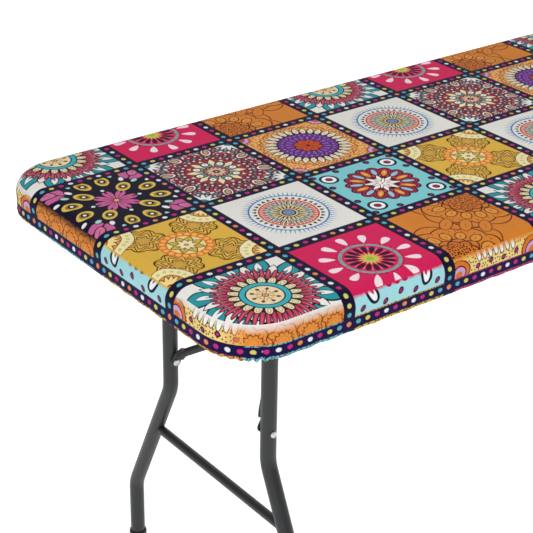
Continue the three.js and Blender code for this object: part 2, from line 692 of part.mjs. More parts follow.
const frontSet = legSet('front');
frontSet.position.set(-legX, 0, 0);
table.add(frontSet);

const rearSet = legSet('rear');
rearSet.position.set(legX, 0, 0);
rearSet.rotation.z = Math.PI;
table.add(rearSet);

export default table;
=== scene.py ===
import json
import math

import bmesh
import bpy
import numpy as np
from mathutils import Matrix, Vector

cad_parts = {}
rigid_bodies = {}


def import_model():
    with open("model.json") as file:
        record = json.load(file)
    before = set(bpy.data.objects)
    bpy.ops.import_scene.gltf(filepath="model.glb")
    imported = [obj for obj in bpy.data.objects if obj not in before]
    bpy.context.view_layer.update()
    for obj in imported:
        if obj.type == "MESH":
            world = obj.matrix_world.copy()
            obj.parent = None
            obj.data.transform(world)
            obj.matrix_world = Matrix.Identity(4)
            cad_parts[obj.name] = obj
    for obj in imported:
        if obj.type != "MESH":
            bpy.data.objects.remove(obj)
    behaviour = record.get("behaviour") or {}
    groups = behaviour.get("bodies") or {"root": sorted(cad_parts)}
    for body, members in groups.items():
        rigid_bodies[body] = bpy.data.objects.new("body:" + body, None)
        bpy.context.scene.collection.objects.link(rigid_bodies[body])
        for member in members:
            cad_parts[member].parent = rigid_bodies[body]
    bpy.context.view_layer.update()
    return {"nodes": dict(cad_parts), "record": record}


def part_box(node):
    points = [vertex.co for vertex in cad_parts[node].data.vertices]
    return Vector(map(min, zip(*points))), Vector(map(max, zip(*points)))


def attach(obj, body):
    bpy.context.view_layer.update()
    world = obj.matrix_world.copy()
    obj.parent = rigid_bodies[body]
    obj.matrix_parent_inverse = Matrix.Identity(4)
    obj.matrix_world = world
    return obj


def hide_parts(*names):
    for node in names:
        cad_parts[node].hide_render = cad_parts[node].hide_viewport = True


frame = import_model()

bl_info = {
    "name": "Fitted tablecloth on a folding table",
    "version": (1, 0, 0),
    "blender": (4, 5, 0),
    "location": "3D View > Sidebar > Tablecloth",
    "description": "Builds a printed fitted tablecloth and its folding table around the packed frame",
    "category": "Add Mesh",
}

TAU = 2 * math.pi

# ---- sizes in metres, read from the frame ----
SHEET_LOW, SHEET_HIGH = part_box("cover_sheet")
HEM_LOW, HEM_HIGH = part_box("hem_casing")
HALF_LENGTH = SHEET_HIGH.x
HALF_WIDTH = SHEET_HIGH.y
TOP = SHEET_HIGH.z
FOOT = SHEET_LOW.z
CORNER = 0.0812            # plan corner radius of the cloth's vertical side
RIM_RADIUS = 0.0242        # top face to vertical side
FOOT_RADIUS = 0.010        # vertical side to the turned-in flap
FLAP_INSET = 0.031
TRIM_INSET = 0.0383        # middle of the hem casing and its elastic, in from the vertical side
OVER = RIM_RADIUS * math.pi / 2                # this and the next three run along the cloth from the flat top's edge
WALL = OVER + (TOP - FOOT - RIM_RADIUS - FOOT_RADIUS)
UNDER = WALL + FOOT_RADIUS * math.pi / 2
FLAP_END = UNDER + FLAP_INSET - FOOT_RADIUS

# ---- the print, in its own repeats ----
PITCH = 0.1744             # one tile with one band
FIRST_COLUMN = -0.915      # x where the first column of tiles starts
ROW_SHIFT = 0.113          # row lines lie this many pitches towards +Y
BAND = 0.059               # half a band's width, in pitches
DOTS = 11                  # dots to a pitch
FRAME_LINE = 0.0195        # where the tiles end, along the cloth from the flat top's edge
STRIP_END = 0.0479         # where the rim strip ends and the perimeter band starts
CROSSING = 0.0564          # middle of the perimeter band
BAND_FOOT = 0.0649


SATURATION = 1.0
DEPTH = 1.06
INK = 1.9                  # how bold the print's drawn lines are
KNIT = 175.0               # wales in a pitch, a millimetre each
STRIP = (STRIP_END - FRAME_LINE) / PITCH
BAND_HALF = (BAND_FOOT - STRIP_END) / 2 / (PITCH / DOTS)
BAND_SOFT = 0.006          # how softly a band's edge starts, in pitches
CROSSING_DOT = 3.0         # number of the dot at the perimeter crossing, counted down the rim
DOT_SHADES = {"O": "DD8C58", "B": "58AEBB", "Y": "D2CC62", "M": "C02A80", "W": "DFE3EA"}
DOT_ORDER = "OBYMWMOWMYB"
BAND_SHADE = "140A34"


def colour(text):
    """A hex colour as linear RGBA: a channel c becomes ((c + 0.055) / 1.055) ** 2.4, or c / 12.92 if dark."""
    parts = [int(text[i:i + 2], 16) / 255 for i in (0, 2, 4)]
    return tuple(c / 12.92 if c <= 0.04045 else ((c + 0.055) / 1.055) ** 2.4 for c in parts) + (1.0,)


def dye(text):
    """A print colour: colour() stretched from its own grey by SATURATION, then raised to DEPTH.

    That keeps the light that the cloth scatters from washing it out."""
    c = np.array(colour(text)[:3])
    grey = c @ [0.2126, 0.7152, 0.0722]
    c = np.clip(grey + (c - grey) * SATURATION, 0.0008, 1.0) ** DEPTH
    return tuple(float(v) for v in c) + (1.0,)


# ---- a small language for shader nodes ----
class Net:
    """Builds one material's nodes. Values are sockets or plain numbers."""

    def __init__(self, name):
        self.material = bpy.data.materials.new(name)
        self.material.use_nodes = True
        self.tree = self.material.node_tree
        self.shader = self.tree.nodes["Principled BSDF"]

    def node(self, kind, **settings):
        made = self.tree.nodes.new(kind)
        for key, value in settings.items():
            setattr(made, key, value)
        return made

    def put(self, socket, value):
        if isinstance(value, bpy.types.NodeSocket):
            self.tree.links.new(value, socket)
        else:
            socket.default_value = value

    def math(self, operation, *values, clamp=False):
        made = self.node("ShaderNodeMath", operation=operation, use_clamp=clamp)
        for socket, value in zip(made.inputs, values):
            self.put(socket, value)
        return made.outputs[0]

    def add(self, a, b):
        return self.math("ADD", a, b)

    def sub(self, a, b):
        return self.math("SUBTRACT", a, b)

    def mul(self, a, b):
        return self.math("MULTIPLY", a, b)

    def hypot(self, a, b):
        return self.math("SQRT", self.math("MULTIPLY_ADD", a, a, self.mul(b, b)))

    def fold(self, value):
        """Distance with sign to the nearest whole number."""
        return self.sub(value, self.math("ROUND", value))

    def size(self, value):
        return self.math("ABSOLUTE", value)

    def edge(self, value, soft):
        """0 where value is negative, rising to 1 over soft."""
        return self.math("DIVIDE", value, soft, clamp=True)

    def near(self, value, reach, soft):
        """1 close to value 0, falling over soft to 0 where its size is reach."""
        return self.edge(self.sub(reach, self.size(value)), soft)

    def mix(self, under, over, mask):
        made = self.node("ShaderNodeMix", data_type="RGBA")
        self.put(made.inputs["Factor"], mask)
        self.put(made.inputs["A"], under)
        self.put(made.inputs["B"], over)
        return made.outputs["Result"]

    def noise(self, vector, scale, detail=2.0, rough=0.5):
        made = self.node("ShaderNodeTexNoise")
        made.inputs["Scale"].default_value = scale
        made.inputs["Detail"].default_value = detail
        made.inputs["Roughness"].default_value = rough
        self.put(made.inputs["Vector"], vector)
        return made.outputs["Fac"]

    def objects(self):
        return self.node("ShaderNodeTexCoord").outputs["Object"]

    def uv(self, layer):
        """The two places that a UV map gives."""
        split = self.node("ShaderNodeSeparateXYZ")
        self.put(split.inputs[0], self.node("ShaderNodeUVMap", uv_map=layer).outputs[0])
        return split.outputs[0], split.outputs[1]

    def ramp(self, value, stops, constant=False):
        made = self.node("ShaderNodeValToRGB")
        band = made.color_ramp
        band.interpolation = "CONSTANT" if constant else "LINEAR"
        while len(band.elements) < len(stops):
            band.elements.new(0.5)
        for element, (place, shade) in zip(band.elements, stops):
            element.position = place
            element.color = shade
        self.put(made.inputs["Fac"], value)
        return made.outputs["Color"]

    def bump(self, height, distance, strength=1.0, below=None):
        made = self.node("ShaderNodeBump")
        made.inputs["Strength"].default_value = strength
        made.inputs["Distance"].default_value = distance
        self.put(made.inputs["Height"], height)
        if below is not None:
            self.put(made.inputs["Normal"], below)
        return made.outputs["Normal"]

    def set(self, **values):
        for key, value in values.items():
            self.put(self.shader.inputs[key.replace("_", " ")], value)


class Tile(Net):
    """A print motif about the middle of its cell. x and y are in pitches, r and turn are its polar pair."""

    SOFT = 0.0045

    def __init__(self, name, ground):
        super().__init__(name)
        self.u, self.v = self.uv("cloth")
        self.x = self.sub(self.math("FRACT", self.u), 0.5)
        self.y = self.sub(self.math("FRACT", self.v), 0.5)
        self.side = self.size(self.x)
        self.rise = self.size(self.y)
        self.centre(0.0, 0.0)
        self.paint = dye(ground)

    def offset(self, cx, cy, mirrored):
        """How far a place lies from a point, or from the nearest of its four mirror images."""
        x = self.side if mirrored else self.x
        y = self.rise if mirrored else self.y
        return self.sub(x, cx), self.sub(y, cy)

    def centre(self, cx, cy, mirrored=False):
        """Moves the polar pair to a point, or to its four mirror images."""
        dx, dy = self.offset(cx, cy, mirrored)
        self.r = self.hypot(dx, dy)
        self.turn = self.math("DIVIDE", self.math("ARCTAN2", dy, dx), TAU)

    def lay(self, shade, mask):
        self.paint = self.mix(self.paint, dye(shade) if isinstance(shade, str) else shade, mask)

    def disc(self, shade, radius):
        self.lay(shade, self.edge(self.sub(radius, self.r), self.SOFT))

    def between(self, inner, outer):
        """1 between two radii."""
        return self.near(self.sub(self.r, (inner + outer) / 2), (outer - inner) / 2, self.SOFT)

    def ring(self, shade, inner, outer):
        self.lay(shade, self.between(inner, outer))

    def beside(self, count, phase):
        """How far a place lies to the side of the nearest of count spokes."""
        away = self.size(self.fold(self.math("MULTIPLY_ADD", self.turn, count, phase)))
        return self.mul(self.mul(away, TAU / count), self.r)

    def petals(self, shade, count, inner, outer, half, root=0.5, tip=0.5, phase=0.0, line=None, width=0.006):
        """count petals round the centre.

        At share t of the way out a petal's half width goes as t^root * (1 - t)^tip, and is half at its widest."""
        if line:
            width *= INK
            self.petals(line, count, inner - width, outer + width, half + width, root, tip, phase)
        across = self.beside(count, phase)
        share = self.math("DIVIDE", self.sub(self.r, inner), outer - inner, clamp=True)
        peak = root / (root + tip)
        scale = half / (peak ** root * (1 - peak) ** tip)
        wide = self.mul(self.math("POWER", share, root), self.math("POWER", self.sub(1.0, share), tip))
        self.lay(shade, self.edge(self.math("MULTIPLY_ADD", wide, scale, self.mul(across, -1.0)), self.SOFT))

    def beads(self, shade, count, radius, size, phase=0.0, line=None, width=0.006):
        self.petals(shade, count, radius - size, radius + size, size, phase=phase, line=line, width=width)

    def blob(self, shade, cx, cy, rx, ry, tilt=0.0, mirrored=True, line=None, width=0.006):
        """An ellipse at a point or at its four mirror images."""
        if line:
            width *= INK
            self.blob(line, cx, cy, rx + width, ry + width, tilt, mirrored)
        dx, dy = self.offset(cx, cy, mirrored)
        if tilt:
            c, s = math.cos(tilt), math.sin(tilt)
            dx, dy = (self.math("MULTIPLY_ADD", dx, c, self.mul(dy, s)),
                      self.math("MULTIPLY_ADD", dy, c, self.mul(dx, -s)))
        far = self.hypot(self.math("DIVIDE", dx, rx), self.math("DIVIDE", dy, ry))
        self.lay(shade, self.edge(self.sub(1.0, far), self.SOFT / min(rx, ry)))

    def stipple(self, shade, density, size, inner=0.0, outer=9.0):
        """Small dots on a jittered lattice between two radii."""
        cells = self.node("ShaderNodeTexVoronoi", voronoi_dimensions="2D")
        cells.inputs["Scale"].default_value = density
        cells.inputs["Randomness"].default_value = 0.6
        spot = self.node("ShaderNodeCombineXYZ")
        self.put(spot.inputs[0], self.u)
        self.put(spot.inputs[1], self.y)
        self.put(cells.inputs["Vector"], spot.outputs[0])
        mask = self.edge(self.sub(size, cells.outputs["Distance"]), 0.08)
        mask = self.mul(mask, self.edge(self.sub(self.r, inner), self.SOFT))
        self.lay(shade, self.mul(mask, self.edge(self.sub(outer, self.r), self.SOFT)))

    def lines(self, shade, count, inner, outer, thick, phase=0.0):
        """Radial strokes."""
        mask = self.edge(self.sub(thick * INK, self.beside(count, phase)), self.SOFT)
        self.lay(shade, self.mul(mask, self.between(inner, outer)))

    def scallops(self, shade, count, radius, depth, thick, phase=0.0):
        """A wavy line: radius plus depth times the size of a cosine round the centre."""
        angle = self.mul(self.math("MULTIPLY_ADD", self.turn, count, phase), math.pi)
        wave = self.size(self.math("COSINE", angle))
        away = self.sub(self.r, self.math("MULTIPLY_ADD", wave, depth, radius))
        self.lay(shade, self.near(away, thick * INK, self.SOFT))

    def dots(self, along, across):
        """Dots one unit apart on a line: the mask, and each dot's colour by its number."""
        near = self.hypot(self.math("DIVIDE", self.fold(along), 0.28), self.math("DIVIDE", across, 0.24))
        mask = self.edge(self.sub(1.0, near), 0.22)
        number = self.math("FLOORED_MODULO", self.math("ROUND", along), DOTS)
        place = self.math("DIVIDE", self.add(number, 0.5), DOTS)
        shades = [dye(DOT_SHADES[k]) for k in DOT_ORDER]
        return mask, self.ramp(place, [(i / DOTS, c) for i, c in enumerate(shades)], constant=True)


def bands(tile):
    """Draws the dotted bands between the tiles, along whole numbers of u and v but the first column's start."""
    inside = tile.edge(tile.sub(tile.u, 0.5), 0.01)
    du = tile.fold(tile.u)
    dv = tile.fold(tile.v)
    upright = tile.mul(tile.near(du, BAND, BAND_SOFT), inside)
    level = tile.near(dv, BAND, BAND_SOFT)
    tile.lay(BAND_SHADE, tile.math("MAXIMUM", upright, level))
    mask, shade = tile.dots(tile.mul(tile.v, DOTS), tile.mul(du, DOTS))
    tile.lay(shade, tile.mul(mask, inside))
    mask, shade = tile.dots(tile.mul(tile.u, DOTS), tile.mul(dv, DOTS))
    tile.lay(shade, mask)


def cloth_finish(tile, roughness=0.62, courses=1.0):
    """Knitted polyester: the print's tone drifts a little, and stitches catch the light in rows.

    courses is 1, or less where v counts more than one to a pitch."""
    place = tile.objects()
    drift = tile.noise(place, 9.0, 3.0)
    grain = tile.noise(place, 420.0, 1.0)
    tone = tile.math("MULTIPLY_ADD", grain, 0.20, tile.math("MULTIPLY_ADD", drift, 0.16, 0.82))
    scaled = tile.node("ShaderNodeVectorMath", operation="SCALE")
    tile.put(scaled.inputs[0], tile.paint)
    tile.put(scaled.inputs["Scale"], tone)
    wale = tile.math("SINE", tile.mul(tile.u, TAU * KNIT))
    course = tile.math("SINE", tile.math("MULTIPLY_ADD", tile.v, TAU * KNIT * 1.3 * courses,
                                         tile.mul(tile.size(wale), 1.6)))
    knit = tile.bump(tile.mul(wale, course), 0.00022, 0.5)
    soft = tile.bump(tile.noise(place, 34.0, 2.0), 0.0016, 0.35, knit)
    tile.set(Base_Color=scaled.outputs[0], Roughness=tile.math("MULTIPLY_ADD", drift, 0.12, roughness - 0.06),
             Normal=soft)
    tile.set(Sheen_Weight=0.02, Sheen_Roughness=0.4, Specular_IOR_Level=0.08)
    return tile.material


# ---- tile motifs ----
def mandala():
    tile = Tile("print_mandala", "E9E6E2")
    tile.petals("2C98A2", 12, 0.355, 0.610, 0.082, root=0.5, tip=0.8, line="10101C", width=0.008)
    tile.petals("EDEAE6", 12, 0.372, 0.510, 0.030, root=0.5, tip=0.9, line="10101C", width=0.004)
    tile.petals("2C98A2", 12, 0.372, 0.440, 0.012, root=0.5, tip=0.9)
    tile.petals("E9E6E2", 12, 0.350, 0.480, 0.036, root=0.5, tip=0.9, phase=0.5, line="10101C")
    tile.petals("BE4460", 44, 0.225, 0.400, 0.0165, root=0.22, tip=0.3, line="3A0C28", width=0.0045)
    tile.petals("D4607A", 44, 0.290, 0.385, 0.006, root=0.5, tip=0.5)
    tile.disc("3A0C28", 0.262)
    tile.petals("E8DDB4", 18, 0.165, 0.275, 0.029, root=0.4, tip=0.35, line="3A2418", width=0.005)
    tile.petals("A8986A", 18, 0.205, 0.264, 0.017, root=0.5, tip=0.5)
    tile.petals("EFE6C4", 18, 0.212, 0.256, 0.011, root=0.5, tip=0.5)
    tile.ring("10202C", 0.136, 0.200)
    tile.ring("3FB4C4", 0.147, 0.189)
    tile.ring("237F92", 0.165, 0.171)
    tile.disc("EBD9B0", 0.140)
    tile.lines("A9793F", 8, 0.03, 0.12, 0.0035)
    tile.beads("7A3A1E", 8, 0.098, 0.017)
    tile.beads("D9A05A", 8, 0.062, 0.011, phase=0.5)
    tile.disc("7A3A1E", 0.030)
    tile.disc("E8C07A", 0.020)
    tile.disc("5A2A14", 0.010)
    return tile


def magenta():
    tile = Tile("print_magenta", "D3205C")
    tile.petals("F1DDE4", 12, 0.262, 0.396, 0.036, root=0.9, tip=0.32)
    tile.beads("6E0E38", 32, 0.258, 0.009)
    tile.ring("7BA6A6", 0.214, 0.246)
    tile.ring("A33A66", 0.206, 0.214)
    tile.beads("B02058", 12, 0.230, 0.009)
    tile.petals("3A0A2E", 16, 0.080, 0.198, 0.024, root=0.8, tip=0.4)
    tile.petals("E06A8C", 16, 0.13, 0.205, 0.008, phase=0.5)
    tile.petals("DDBC5A", 16, 0.02, 0.108, 0.014, root=0.4, tip=1.0, phase=0.5)
    tile.disc("C2CE62", 0.050)
    tile.disc("A3BA4E", 0.034)
    return tile


def line_art():
    tile = Tile("print_line_art", "DB8A34")
    tile.lay("C4722A", tile.mul(tile.noise(tile.objects(), 16.0), 0.55))
    rust = "5A1C0C"
    for cx, cy in ((0.30, 0.34), (-0.34, -0.33)):
        tile.centre(cx, cy)
        tile.disc("CE7A30", 0.205)
        tile.stipple(rust, 40.0, 0.38, 0.0, 0.150)
        tile.scallops(rust, 9, 0.150, 0.030, 0.0055)
        tile.scallops(rust, 9, 0.185, 0.034, 0.0050, phase=0.5)
        tile.petals("DD9440", 14, 0.215, 0.330, 0.042, root=0.5, tip=0.45, line=rust, width=0.005)
        tile.petals(rust, 14, 0.235, 0.300, 0.005)
        tile.beads(rust, 44, 0.350, 0.008)
        tile.scallops(rust, 10, 0.375, 0.045, 0.0050)
        tile.scallops(rust, 10, 0.440, 0.050, 0.0045, phase=0.5)
    for cx, cy, tilt in ((0.0, 0.0, 0.8), (0.12, -0.10, 0.9), (-0.12, 0.10, 0.7)):
        tile.blob("D48434", cx, cy, 0.105, 0.050, tilt, mirrored=False, line=rust, width=0.004)
        tile.blob(rust, cx, cy, 0.070, 0.004, tilt, mirrored=False)
    return tile


def navy():
    tile = Tile("print_navy", "110A28")
    pink, gold, mint = "C8669A", "DCC05A", "A8D8C8"
    tile.petals(pink, 8, 0.018, 0.192, 0.043, root=0.9, tip=0.35)
    tile.petals("110A28", 8, 0.130, 0.200, 0.013, root=0.9, tip=0.3)
    tile.lines("7C2C5A", 8, 0.03, 0.12, 0.003)
    tile.disc("E3B45A", 0.024)
    tile.beads("CFE6E2", 4, 0.222, 0.019)
    for cx, cy, tilt in ((0.094, 0.382, 1.30), (0.190, 0.202, 0.82), (0.362, 0.100, 0.35)):
        tile.blob(gold, cx, cy, 0.092, 0.062, tilt)
        tile.blob("9A7A34", cx, cy, 0.060, 0.044, tilt)
        tile.blob("1A0C1E", cx, cy, 0.036, 0.035)
        tile.blob("F2ECDC", cx, cy, 0.018, 0.018)
    for cx, cy, tilt, long, wide, shade in (
            (0.405, 0.322, 0.30, 0.096, 0.044, pink), (0.322, 0.415, 1.27, 0.096, 0.044, pink),
            (0.425, 0.420, 0.79, 0.090, 0.045, "D277A0"), (0.255, 0.340, 1.10, 0.040, 0.024, "EDE6EE"),
            (0.335, 0.262, 0.50, 0.040, 0.024, mint), (0.445, 0.215, 0.30, 0.036, 0.022, "EDE6EE"),
            (0.205, 0.445, 1.30, 0.036, 0.020, mint)):
        tile.blob(shade, cx, cy, long, wide, tilt, line="110A28")
    tile.blob("8E2E62", 0.425, 0.420, 0.060, 0.006, 0.79)
    return tile


def burgundy():
    tile = Tile("print_burgundy", "A5384E")
    tile.lines("7A1E38", 48, 0.24, 0.72, 0.006)
    tile.scallops("E9DCD6", 8, 0.315, 0.13, 0.010)
    tile.scallops("6E1A34", 8, 0.345, 0.13, 0.008)
    tile.scallops("4E9A9C", 8, 0.375, 0.13, 0.011)
    tile.beads("E6E0DC", 30, 0.292, 0.014, line="5A1028")
    tile.beads("4FA3A6", 30, 0.330, 0.015, phase=0.5, line="5A1028")
    tile.beads("E9DCD6", 34, 0.372, 0.013, line="5A1028")
    tile.beads("DE8E96", 36, 0.412, 0.015, phase=0.5, line="5A1028")
    tile.beads("4F9EA2", 40, 0.456, 0.016, line="5A1028")
    tile.beads("E6E0DC", 44, 0.500, 0.014, phase=0.5, line="5A1028")
    tile.beads("3E8A90", 48, 0.545, 0.016, line="5A1028")
    tile.petals("EFE7DC", 8, 0.355, 0.490, 0.044, phase=0.5, line="6E1A34", width=0.012)
    tile.petals("B9A47E", 8, 0.385, 0.470, 0.022, phase=0.5, line="6E1A34")
    tile.centre(0.44, 0.44, mirrored=True)
    tile.petals("EDE8E2", 12, 0.03, 0.150, 0.022, tip=0.8, line="2E6E76", width=0.008)
    tile.disc("2F8088", 0.050)
    tile.centre(0.0, 0.0)
    tile.petals("EBDFB6", 16, 0.11, 0.262, 0.034, root=0.5, tip=0.9, line="6A3A2A")
    tile.petals("5AA0A0", 8, 0.10, 0.215, 0.040, line="5A2A2A")
    tile.beads("F2F0EA", 8, 0.172, 0.030, line="7A5A3A")
    tile.beads("4F8A8C", 8, 0.172, 0.010)
    tile.disc("6E2A34", 0.118)
    tile.ring("C98A80", 0.085, 0.104)
    tile.petals("DDB9A2", 12, 0.030, 0.090, 0.017, line="5A2028")
    tile.disc("4A1622", 0.028)
    tile.disc("D9B58A", 0.014)
    return tile


def purple():
    tile = Tile("print_purple", "D88A38")
    tile.stipple("EBC98A", 30.0, 0.36, 0.36)
    tile.scallops("A85A20", 30, 0.405, 0.030, 0.005)
    tile.centre(0.44, 0.44, mirrored=True)
    tile.disc("B85A28", 0.118)
    tile.ring("C6A2D2", 0.052, 0.090)
    tile.ring("6E3480", 0.046, 0.054)
    tile.beads("EBD9B0", 20, 0.112, 0.008)
    tile.centre(0.0, 0.0)
    tile.petals("E8DCC2", 30, 0.270, 0.400, 0.030, root=0.4, tip=0.8, line="20101E")
    tile.petals("C9B48A", 30, 0.290, 0.350, 0.008, tip=0.8)
    tile.petals("2A1238", 30, 0.255, 0.330, 0.018, tip=0.9, phase=0.5)
    tile.disc("2A1238", 0.282)
    tile.disc("7A3A9A", 0.268)
    tile.beads("A873C4", 30, 0.232, 0.014, line="4A1E66")
    tile.petals("9256B2", 20, 0.130, 0.208, 0.017, line="4A1E66")
    tile.beads("C49AD8", 20, 0.186, 0.006)
    tile.petals("C24F22", 8, 0.015, 0.128, 0.038, root=0.8, tip=0.4, line="3A1420")
    tile.lines("7A2A12", 8, 0.03, 0.10, 0.003)
    tile.disc("5A1E14", 0.020)
    return tile


def yellow():
    tile = Tile("print_yellow", "DDB348")
    ink = "38180F"
    tile.centre(0.235, 0.245, mirrored=True)
    for reach, shade in ((0.185, "D8AC48"), (0.135, "E0B856"), (0.085, "D2A446")):
        tile.petals(shade, 8, 0.0, reach, reach * 0.27, root=0.6, tip=0.9, line=ink, width=0.006)
    tile.petals(ink, 8, 0.02, 0.11, 0.003, tip=0.9)
    tile.scallops(ink, 8, 0.160, 0.030, 0.0045)
    tile.centre(0.47, 0.45, mirrored=True)
    tile.disc(ink, 0.246)
    tile.disc("F0E2B4", 0.240)
    tile.beads("C9CE72", 22, 0.190, 0.018)
    tile.disc(ink, 0.146)
    tile.disc("E0A23C", 0.140)
    tile.petals("F0D890", 16, 0.03, 0.132, 0.018, tip=0.8, line="7A3A14")
    tile.centre(0.0, 0.0)
    tile.ring("E28A34", 0.150, 0.222)
    tile.beads("F2B45C", 20, 0.187, 0.024, line="D9722A")
    tile.disc("EAD9A0", 0.150)
    tile.petals("D2B444", 8, 0.02, 0.140, 0.040, root=0.5, tip=0.9, line=ink)
    tile.petals("8E6A22", 8, 0.04, 0.11, 0.008, tip=0.9)
    tile.petals("EFE2B8", 8, 0.0, 0.085, 0.026, tip=0.9, phase=0.5, line=ink, width=0.004)
    tile.disc(ink, 0.022)
    tile.disc("E8A83C", 0.015)
    return tile


def white():
    tile = Tile("print_white", "E4E2DC")
    tile.petals("3A80B4", 60, 0.322, 0.402, 0.0065, root=0.2, tip=0.6)
    tile.petals("5A9CC4", 30, 0.322, 0.366, 0.012, root=0.2, tip=0.8, phase=0.5)
    tile.ring("2E78B4", 0.316, 0.334)
    tile.petals("17171F", 32, 0.262, 0.302, 0.017, root=0.2, tip=0.9)
    tile.ring("CF4630", 0.232, 0.252)
    tile.petals("DE8468", 40, 0.190, 0.234, 0.010, line="B04A3A", width=0.003)
    tile.petals("22302F", 28, 0.146, 0.212, 0.009, phase=0.5)
    tile.petals("3F918F", 28, 0.126, 0.190, 0.009)
    tile.petals("DCCB92", 20, 0.078, 0.160, 0.012, line="4A3E2A", width=0.004)
    tile.petals("232B2E", 20, 0.066, 0.118, 0.007, phase=0.5)
    tile.ring("D8C48A", 0.060, 0.078)
    tile.disc("22243A", 0.064)
    tile.disc("8C9AC4", 0.049)
    tile.beads("5C6A9A", 6, 0.026, 0.012)
    return tile


def aqua():
    tile = Tile("print_aqua", "84CCD2")
    tile.blob("EEF2F2", 0.325, 0.312, 0.066, 0.066, line="161232", width=0.012)
    tile.blob("A82440", 0.325, 0.312, 0.024, 0.024, line="161232")
    for cx, cy in ((0.410, 0.160), (0.170, 0.412), (0.425, 0.405)):
        tile.blob("8A2A66", cx, cy, 0.016, 0.016, line="161232", width=0.009)
    tile.beads("B31E48", 16, 0.262, 0.052, line="1A1030", width=0.008)
    tile.disc("1A1030", 0.268)
    tile.disc("B31E48", 0.262)
    tile.petals("E2963A", 8, 0.150, 0.282, 0.028, line="5A0E30", width=0.007)
    tile.petals("F2C46A", 8, 0.190, 0.262, 0.010)
    tile.petals("9CC6DA", 8, 0.170, 0.286, 0.024, phase=0.5, line="5A0E30", width=0.007)
    tile.petals("D8424E", 16, 0.120, 0.180, 0.014, phase=0.5, line="5A0E30")
    tile.disc("5A0E30", 0.146)
    tile.petals("F2F0EA", 8, 0.006, 0.164, 0.025, root=0.6, tip=0.9, phase=0.5, line="5A0E30", width=0.004)
    tile.petals("F2F0EA", 8, 0.004, 0.110, 0.014, root=0.6, tip=0.9, line="8A1A40", width=0.004)
    tile.disc("7A1232", 0.012)
    return tile


# ---- rim strips: u runs along the edge in pitches, v counts dots down to 3 at the perimeter crossing ----
def rim_base(name, ground):
    """A strip whose own place is x along and y from 0 at the tiles to 1 at the perimeter band."""
    tile = Tile(name, ground)
    tile.down = tile.uv("rim")[1]
    tile.y = tile.mul(tile.down, STRIP)
    tile.rise = tile.y
    tile.centre(0.0, 0.0)
    return tile


def rim_finish(tile, feather=0.30):
    """Fades the strip into the tile above it, then draws the dotted bands that run down the rim."""
    above = tile.node("ShaderNodeAttribute", attribute_name="ground")
    waver = tile.noise(tile.objects(), 150.0, 1.0)
    start = tile.math("MULTIPLY_ADD", waver, 0.16, -0.06)
    tile.paint = tile.mix(above.outputs["Color"], tile.paint, tile.edge(tile.sub(tile.down, start), feather))
    du = tile.fold(tile.u)
    tile.lay(BAND_SHADE, tile.near(du, BAND, BAND_SOFT))
    mask, shade = tile.dots(tile.math("MULTIPLY_ADD", tile.v, -1.0, CROSSING_DOT), tile.mul(du, DOTS))
    tile.lay(shade, mask)
    return cloth_finish(tile, courses=1 / DOTS)


def rim_aqua():
    tile = rim_base("print_rim_aqua", "A6DAE0")
    for cx, tilt in ((-0.27, -0.35), (0.27, 0.35)):
        tile.blob("F0F2F4", cx, 0.030, 0.034, 0.070, tilt, mirrored=False, line="141030", width=0.013)
        tile.blob("B22A50", cx, 0.012, 0.014, 0.034, tilt, mirrored=False)
    for cx, cy in ((-0.37, 0.120), (-0.15, 0.128), (0.15, 0.120), (0.37, 0.110), (0.0, 0.085)):
        tile.blob("A8246A", cx, cy, 0.014, 0.022, 0.6, mirrored=False, line="1A1030")
    tile.beads("84B8C8", 5, 0.10, 0.004)
    for cx in (-0.10, -0.02, 0.06):
        tile.blob("7A1440", cx, 0.0, 0.032, 0.030, mirrored=False)
    return rim_finish(tile, 0.16)


def cream_strip(name, corner):
    """Cream with petals and arches.

    At the table's ends it turns orange towards both corners, where the next strip is orange."""
    tile = rim_base(name, "E9CF86")
    tile.stipple("4A2A22", 30.0, 0.26)
    for k in range(-3, 4):
        tile.blob("F2EEE6", k * 0.062, 0.018 + 0.006 * (k % 2), 0.022, 0.062, mirrored=False,
                  line="1A141C", width=0.004)
    for cx, cy in ((-0.20, 0.118), (-0.06, 0.108), (0.08, 0.124), (0.22, 0.108)):
        tile.blob("B8327A", cx, cy, 0.016, 0.016, mirrored=False, line="141030")
    for cx in (-0.40, 0.40):
        tile.blob("D9762E", cx, 0.125, 0.110, 0.095, mirrored=False, line="5A1E14")
        tile.blob("C7A6D6", cx, 0.135, 0.066, 0.062, mirrored=False, line="5A1E14")
        tile.blob("D9762E", cx, 0.145, 0.040, 0.036, mirrored=False)
    if corner:
        away = tile.size(tile.add(tile.u, ROW_SHIFT))
        tile.lay("DF9040", tile.edge(tile.sub(away, 1.47), 0.20))
    return rim_finish(tile, 0.30)


def rim_orange():
    tile = rim_base("print_rim_orange", "DF9040")
    rust = "7A3014"
    for cx in (-0.32, -0.10, 0.14, 0.36):
        tile.centre(cx, 0.150)
        tile.scallops(rust, 10, 0.060, 0.020, 0.0035)
        tile.scallops(rust, 7, 0.112, 0.026, 0.0035)
        tile.lines(rust, 18, 0.065, 0.100, 0.0025)
        tile.beads(rust, 18, 0.042, 0.004)
    return rim_finish(tile, 0.42)


